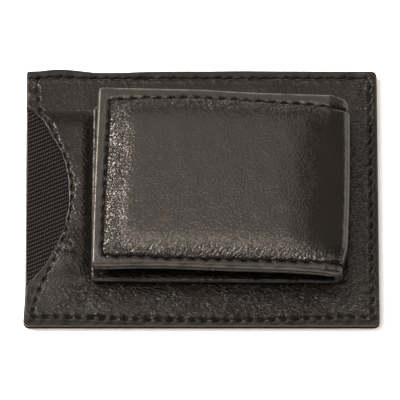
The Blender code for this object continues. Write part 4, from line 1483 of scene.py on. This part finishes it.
def makeStrapLeather():
    look = strapLook
    a, q, edge = strapGrid(*look["spacing"])
    height = outerFace(a, q, edge)
    share = foldShare(a)
    bulge = foldBulge(share)
    wall = mix(strap["baseWall"], strap["flapWall"], share)
    follows = mix(bulge, height, easeFrom(a, foldEnd, look["thickFold"]))
    under = np.minimum(height, follows) - look["thickness"]
    back = mix(bulge - wall, under, ease(edge, *look["room"]))

    away, travelled = besidePath(a, q, flapPath)
    upper = easeFrom(a, foldEnd, look["flapFrom"])
    strength, low, high, power = look["endWorked"]
    nearEnd = (1 - ease(strapLength - a, low, high)) ** power
    besideSeam, reach = look["foldWorked"]
    worked = (away < 0) * (besideSeam * bell(away, 0, reach) * upper + strength * nearEnd)
    # Paler along the edges, partly wear and partly a painted highlight on the edge lines
    wearAndHighlight = look["wearAndHighlight"] * bell(edge, *look["wearAt"]) * patchy(a, q, look["wearDrift"]).clip(0, 1)
    # Painted shade along the thread's channel and in the needle holes
    threadShade, width = look["threadShade"]
    inkedAndShaded = threadShade * overThread(away, travelled, strapSeam, width)
    inkedAndShaded = np.maximum(inkedAndShaded, look["holeShade"] * nearHole(away, travelled, strapSeam))
    # The hem is darker, less so at its front edge
    atBack = ease(q, *look["hemBack"])
    fromFront = easeFrom(q, -halfStrap, look["frontReach"])
    hem = mix(*look["hemDark"], atBack) * mix(*look["frontDark"], fromFront)
    hem = hem * ease(edge, *look["hemReach"]) * (1 - ease(edge, *look["hemEnd"])) * upper
    inkedAndShaded = np.maximum(inkedAndShaded, hem)
    # Painted shade along a crease line inside the back edge
    strength, place, width = look["creaseShadeLine"]
    inkedAndShaded = np.maximum(inkedAndShaded, strength * bell(edge, place, width) * (atBack * upper))
    # Painted shade over the lower leaf under the flap, away from its edge
    leafUnderFlap = 1 - easeFrom(a, foldStart, look["leafEnd"])
    inkedAndShaded = np.maximum(inkedAndShaded, leafUnderFlap * ease(edge, *look["leafReach"]))
    taut = ease(foldEnd - a, *look["tautReach"]) * ease(a, foldStart, foldEnd)
    marks = {"worked": worked.clip(0, 1), "wearAndHighlight": wearAndHighlight, "inkedAndShaded": inkedAndShaded.clip(0, 1), "taut": taut}
    piece = closedSheet(
        "strapLeather", a, q, height, back, look["rim"], lift=strapLift, marks=marks, finishes=(paddedNappa,)
    )
    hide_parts("clip_base_outer", "clip_fold_outer", "clip_flap_outer")
    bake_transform(piece)


strapLiningLook = {
    "spacing": (0.22, 0.7, 1.0),
    "outset": 0.04,  # how far it stands out beyond the outer leather
    "rim": ((0.18, 0.1), (0.25, 0.35), (0.2, 0.65), (0.06, 0.88), (-0.25, 1.0)),
    "round": (0.1, 0.8),  # rounding of its edge on the lower and on the upper leaf
    "bulgeShare": 0.5,  # how much of the fold's squareness it takes
    "gap": 0.08,  # between its rolled edge and the outer leather's edge
    "thickness": 0.6,
    "roll": (2.6, 3.8),  # how far in its rolled edge goes
    "worked": (1.0, 0.3),
    "wearAndHighlight": (1.0, 0.5),
    "wearAt": (0.2, 0.3),
    "wearDrift": (0.5, 0.5, 1.6, 65),
}


def makeStrapLining():
    # The inner leather, its edges turned in a soft roll that shows under the outer leather's edge
    look = strapLiningLook
    a, q, edge = strapGrid(*look["spacing"], look["outset"])
    share = foldShare(a)
    bulge = foldBulge(share)
    thickness = strapThickness(a)
    wall = mix(strap["baseWall"], strap["flapWall"], share)
    height = -thickness + roundedEdge(edge, mix(*look["round"], share)) + look["bulgeShare"] * bulge
    away, travelled = besidePath(a, q, flapPath)
    height = height - seamRelief(away, travelled, liningSeam) * ease(edge, *liningSeam["fade"])
    rollTop = -wall - look["gap"] + bulge
    back = mix(rollTop, -thickness + look["thickness"], ease(edge, *look["roll"]))
    # Paler along the rolled edge, partly wear and partly a painted highlight on the lower leaf's front edge
    wearAndHighlight = mix(*look["wearAndHighlight"], share) * bell(edge, *look["wearAt"])
    wearAndHighlight = wearAndHighlight * patchy(a, q, look["wearDrift"]).clip(0, 1)
    marks = {"worked": mix(*look["worked"], share), "wearAndHighlight": wearAndHighlight}
    finishes = (liningLeather, paddedNappa)
    piece = closedSheet(
        "strapLining", a, q, height, back, look["rim"], strapLift, marks, finishes=finishes, rimFinish=1
    )
    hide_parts("clip_base_lining", "clip_fold_inner", "clip_flap_lining")
    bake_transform(piece)


def makeStrapStitches():
    def outer(a, q):
        share = foldShare(a)
        pull = foldShape["backPull"] if np.mean(q) > 0 else foldShape["frontPull"]
        return foldBulge(share) - np.sin(math.pi * share) * (foldShape["crease"] + pull * 0.5)

    flapStitches = sewStitches("flapStitches", [(flapPath, flapThread, strapLift, outer)], 51)
    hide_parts("clip_flap_seam")
    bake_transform(flapStitches)

    def inner(a, q):
        return strapThickness(a)

    def innerLift(a, q, n):
        return strapLift(a, q, -n)

    left, turn = strapSeam["baseInset"], strapSeam["turn"]
    side = halfStrap - left
    right = foldStart + strapSeam["pastFold"]
    basePath = smoothPath(
        [(a, side) for a in np.linspace(right, left + turn, 24)]
        + [(left, b) for b in np.linspace(side - turn, turn - side, 16)]
        + [(a, -side) for a in np.linspace(left + turn, right, 24)]
    )
    baseStitches = sewStitches("baseStitches", [(basePath, baseThread, innerLift, inner)], 52)
    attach(baseStitches, "root")
    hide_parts("clip_base_seam")


def makePad():
    # The swollen foam, laid into the folded strap
    mesh = bpy.data.meshes.new("flapPad")
    laid = np.column_stack(strapLift(*foamPlaces.T))
    mesh.from_pydata((laid * millimetre).tolist(), [], foamFaces)
    piece = finishMesh("flapPad", mesh, foamPlaces[:, :2], (cellFoam,))
    piece.modifiers.new("rounded", "SUBSURF").levels = 1
    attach(piece, "clip_flap")
    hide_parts("clip_flap_pad")


makeRearLeather()
makeRearLining()
makeTwillWall()
makeFront()
print("body made")
makeBodyStitches()
print("body sewn")
makeStrapLeather()
makeStrapLining()
makePad()
makeStrapStitches()
print("clip made")

for node, finish in (
    ("clip_base_board", fibreBoard),
    ("clip_flap_board", fibreBoard),
    ("clip_base_magnet_upper", nickelPlate),
    ("clip_base_magnet_lower", nickelPlate),
    ("clip_flap_magnet_upper", nickelPlate),
    ("clip_flap_magnet_lower", nickelPlate),
):
    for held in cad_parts[node].material_slots:
        held.material = finish


# Floor, light and camera

studio = {
    "floor": ("F6F6F4", "F8F8F7"),  # two close whites in slow clouds
    "floorClouds": 3.0,
    "floorGloss": 0.9,
    "floorSize": 6.0,
    "lamp": "FFFAF5",  # warm white softboxes
    "world": "FFFAF5",
    "worldStrength": 0.12,
    # Name: place and what it faces, width and height in metres, watts
    "boxes": {
        "overheadBox": ((-0.11, 0.6, 1.2), (-0.11, 0.6, 0.0), 0.8, 1.5, 7.5),
        "frontBox": ((-0.1, -0.03, 1.22), (-0.1, -0.03, 0.0), 0.8, 0.2, 4.4),
        "leftBox": ((-0.83, 0.42, 1.06), (0.0, 0.0, 0.0), 0.5, 0.6, 42.0),
        "backBox": ((0.1, 1.3, 0.16), (0.0, 0.0, 0.0), 1.2, 0.16, 8.5),
        "rightBox": ((1.1, 0.35, 0.5), (0.0, 0.0, 0.0), 0.6, 0.6, 4.6),
        "lowBox": ((0.0, -1.25, 0.42), (0.0, 0.0, 0.0), 1.2, 0.5, 3.6),
        "fillBox": ((0.6, 0.37, 1.08), (0.0, 0.0, 0.0), 0.35, 0.5, 0.2),
        "cornerBox": ((-0.36, -0.34, 1.08), (0.0, 0.0, 0.0), 0.6, 0.4, 3.0),
    },
}
cameraLook = {
    "tilt": math.radians(20),  # off straight down, seen from the lower edge
    "distance": 2.4,
    "pixelsPerMetre": 3454,
    "imageWidth": 400,
    "aim": (-0.000434, -0.000678, 0.0037),
    "sensor": 36,  # millimetres
    "sees": 20,
}


def makeFloor():
    mesh = bpy.data.meshes.new("floor")
    half = studio["floorSize"] / 2
    corners = [(-half, -half, 0), (half, -half, 0), (half, half, 0), (-half, half, 0)]
    mesh.from_pydata(corners, [], [(0, 1, 2, 3)])
    # Matt wall paint, rolled on: pale and even, with no shine of its own
    material, tree, shader, _ = startMaterial("mattPaintedFloor")
    ground = addNode(tree, "TexCoord", out="Object")
    cloud = addNode(tree, "TexNoise", {"Vector": ground, "Scale": studio["floorClouds"]})
    dark, light = studio["floor"]
    tint = addNode(tree, "Mix", {0: cloud, 6: hexColour(dark), 7: hexColour(light)}, 2, data_type="RGBA")
    tree.links.new(tint, shader.inputs["Base Color"])
    shader.inputs["Roughness"].default_value = studio["floorGloss"]
    mesh.materials.append(material)
    floor = bpy.data.objects.new("floor", mesh)
    bpy.context.scene.collection.objects.link(floor)


def makeLights():
    for name, (place, faced, width, height, watts) in studio["boxes"].items():
        data = bpy.data.lights.new(name, "AREA")
        data.shape = "RECTANGLE"
        data.size, data.size_y = width, height
        data.energy = watts
        data.color = hexColour(studio["lamp"])[:3]
        box = bpy.data.objects.new(name, data)
        box.location = place
        box.rotation_euler = (Vector(faced) - box.location).to_track_quat("-Z", "Y").to_euler()
        box.visible_camera = False
        bpy.context.scene.collection.objects.link(box)
    world = bpy.data.worlds.new("studioAir")
    world.use_nodes = True
    air = world.node_tree.nodes["Background"]
    air.inputs["Color"].default_value = hexColour(studio["world"])
    air.inputs["Strength"].default_value = studio["worldStrength"]
    bpy.context.scene.world = world
    bpy.context.scene.view_settings.view_transform = "Standard"


def makeCamera():
    look = cameraLook
    camera = bpy.data.objects.new("camera", bpy.data.cameras.new("camera"))
    back = Vector((0, -math.sin(look["tilt"]), math.cos(look["tilt"])))
    camera.location = Vector(look["aim"]) + back * look["distance"]
    camera.rotation_euler = (look["tilt"], 0, 0)
    camera.data.sensor_width = look["sensor"]
    camera.data.lens = look["sensor"] * look["distance"] * look["pixelsPerMetre"] / look["imageWidth"]
    camera.data.clip_end = look["sees"]
    bpy.context.scene.collection.objects.link(camera)
    bpy.context.scene.camera = camera


makeFloor()
makeLights()
makeCamera()
print("studio made")
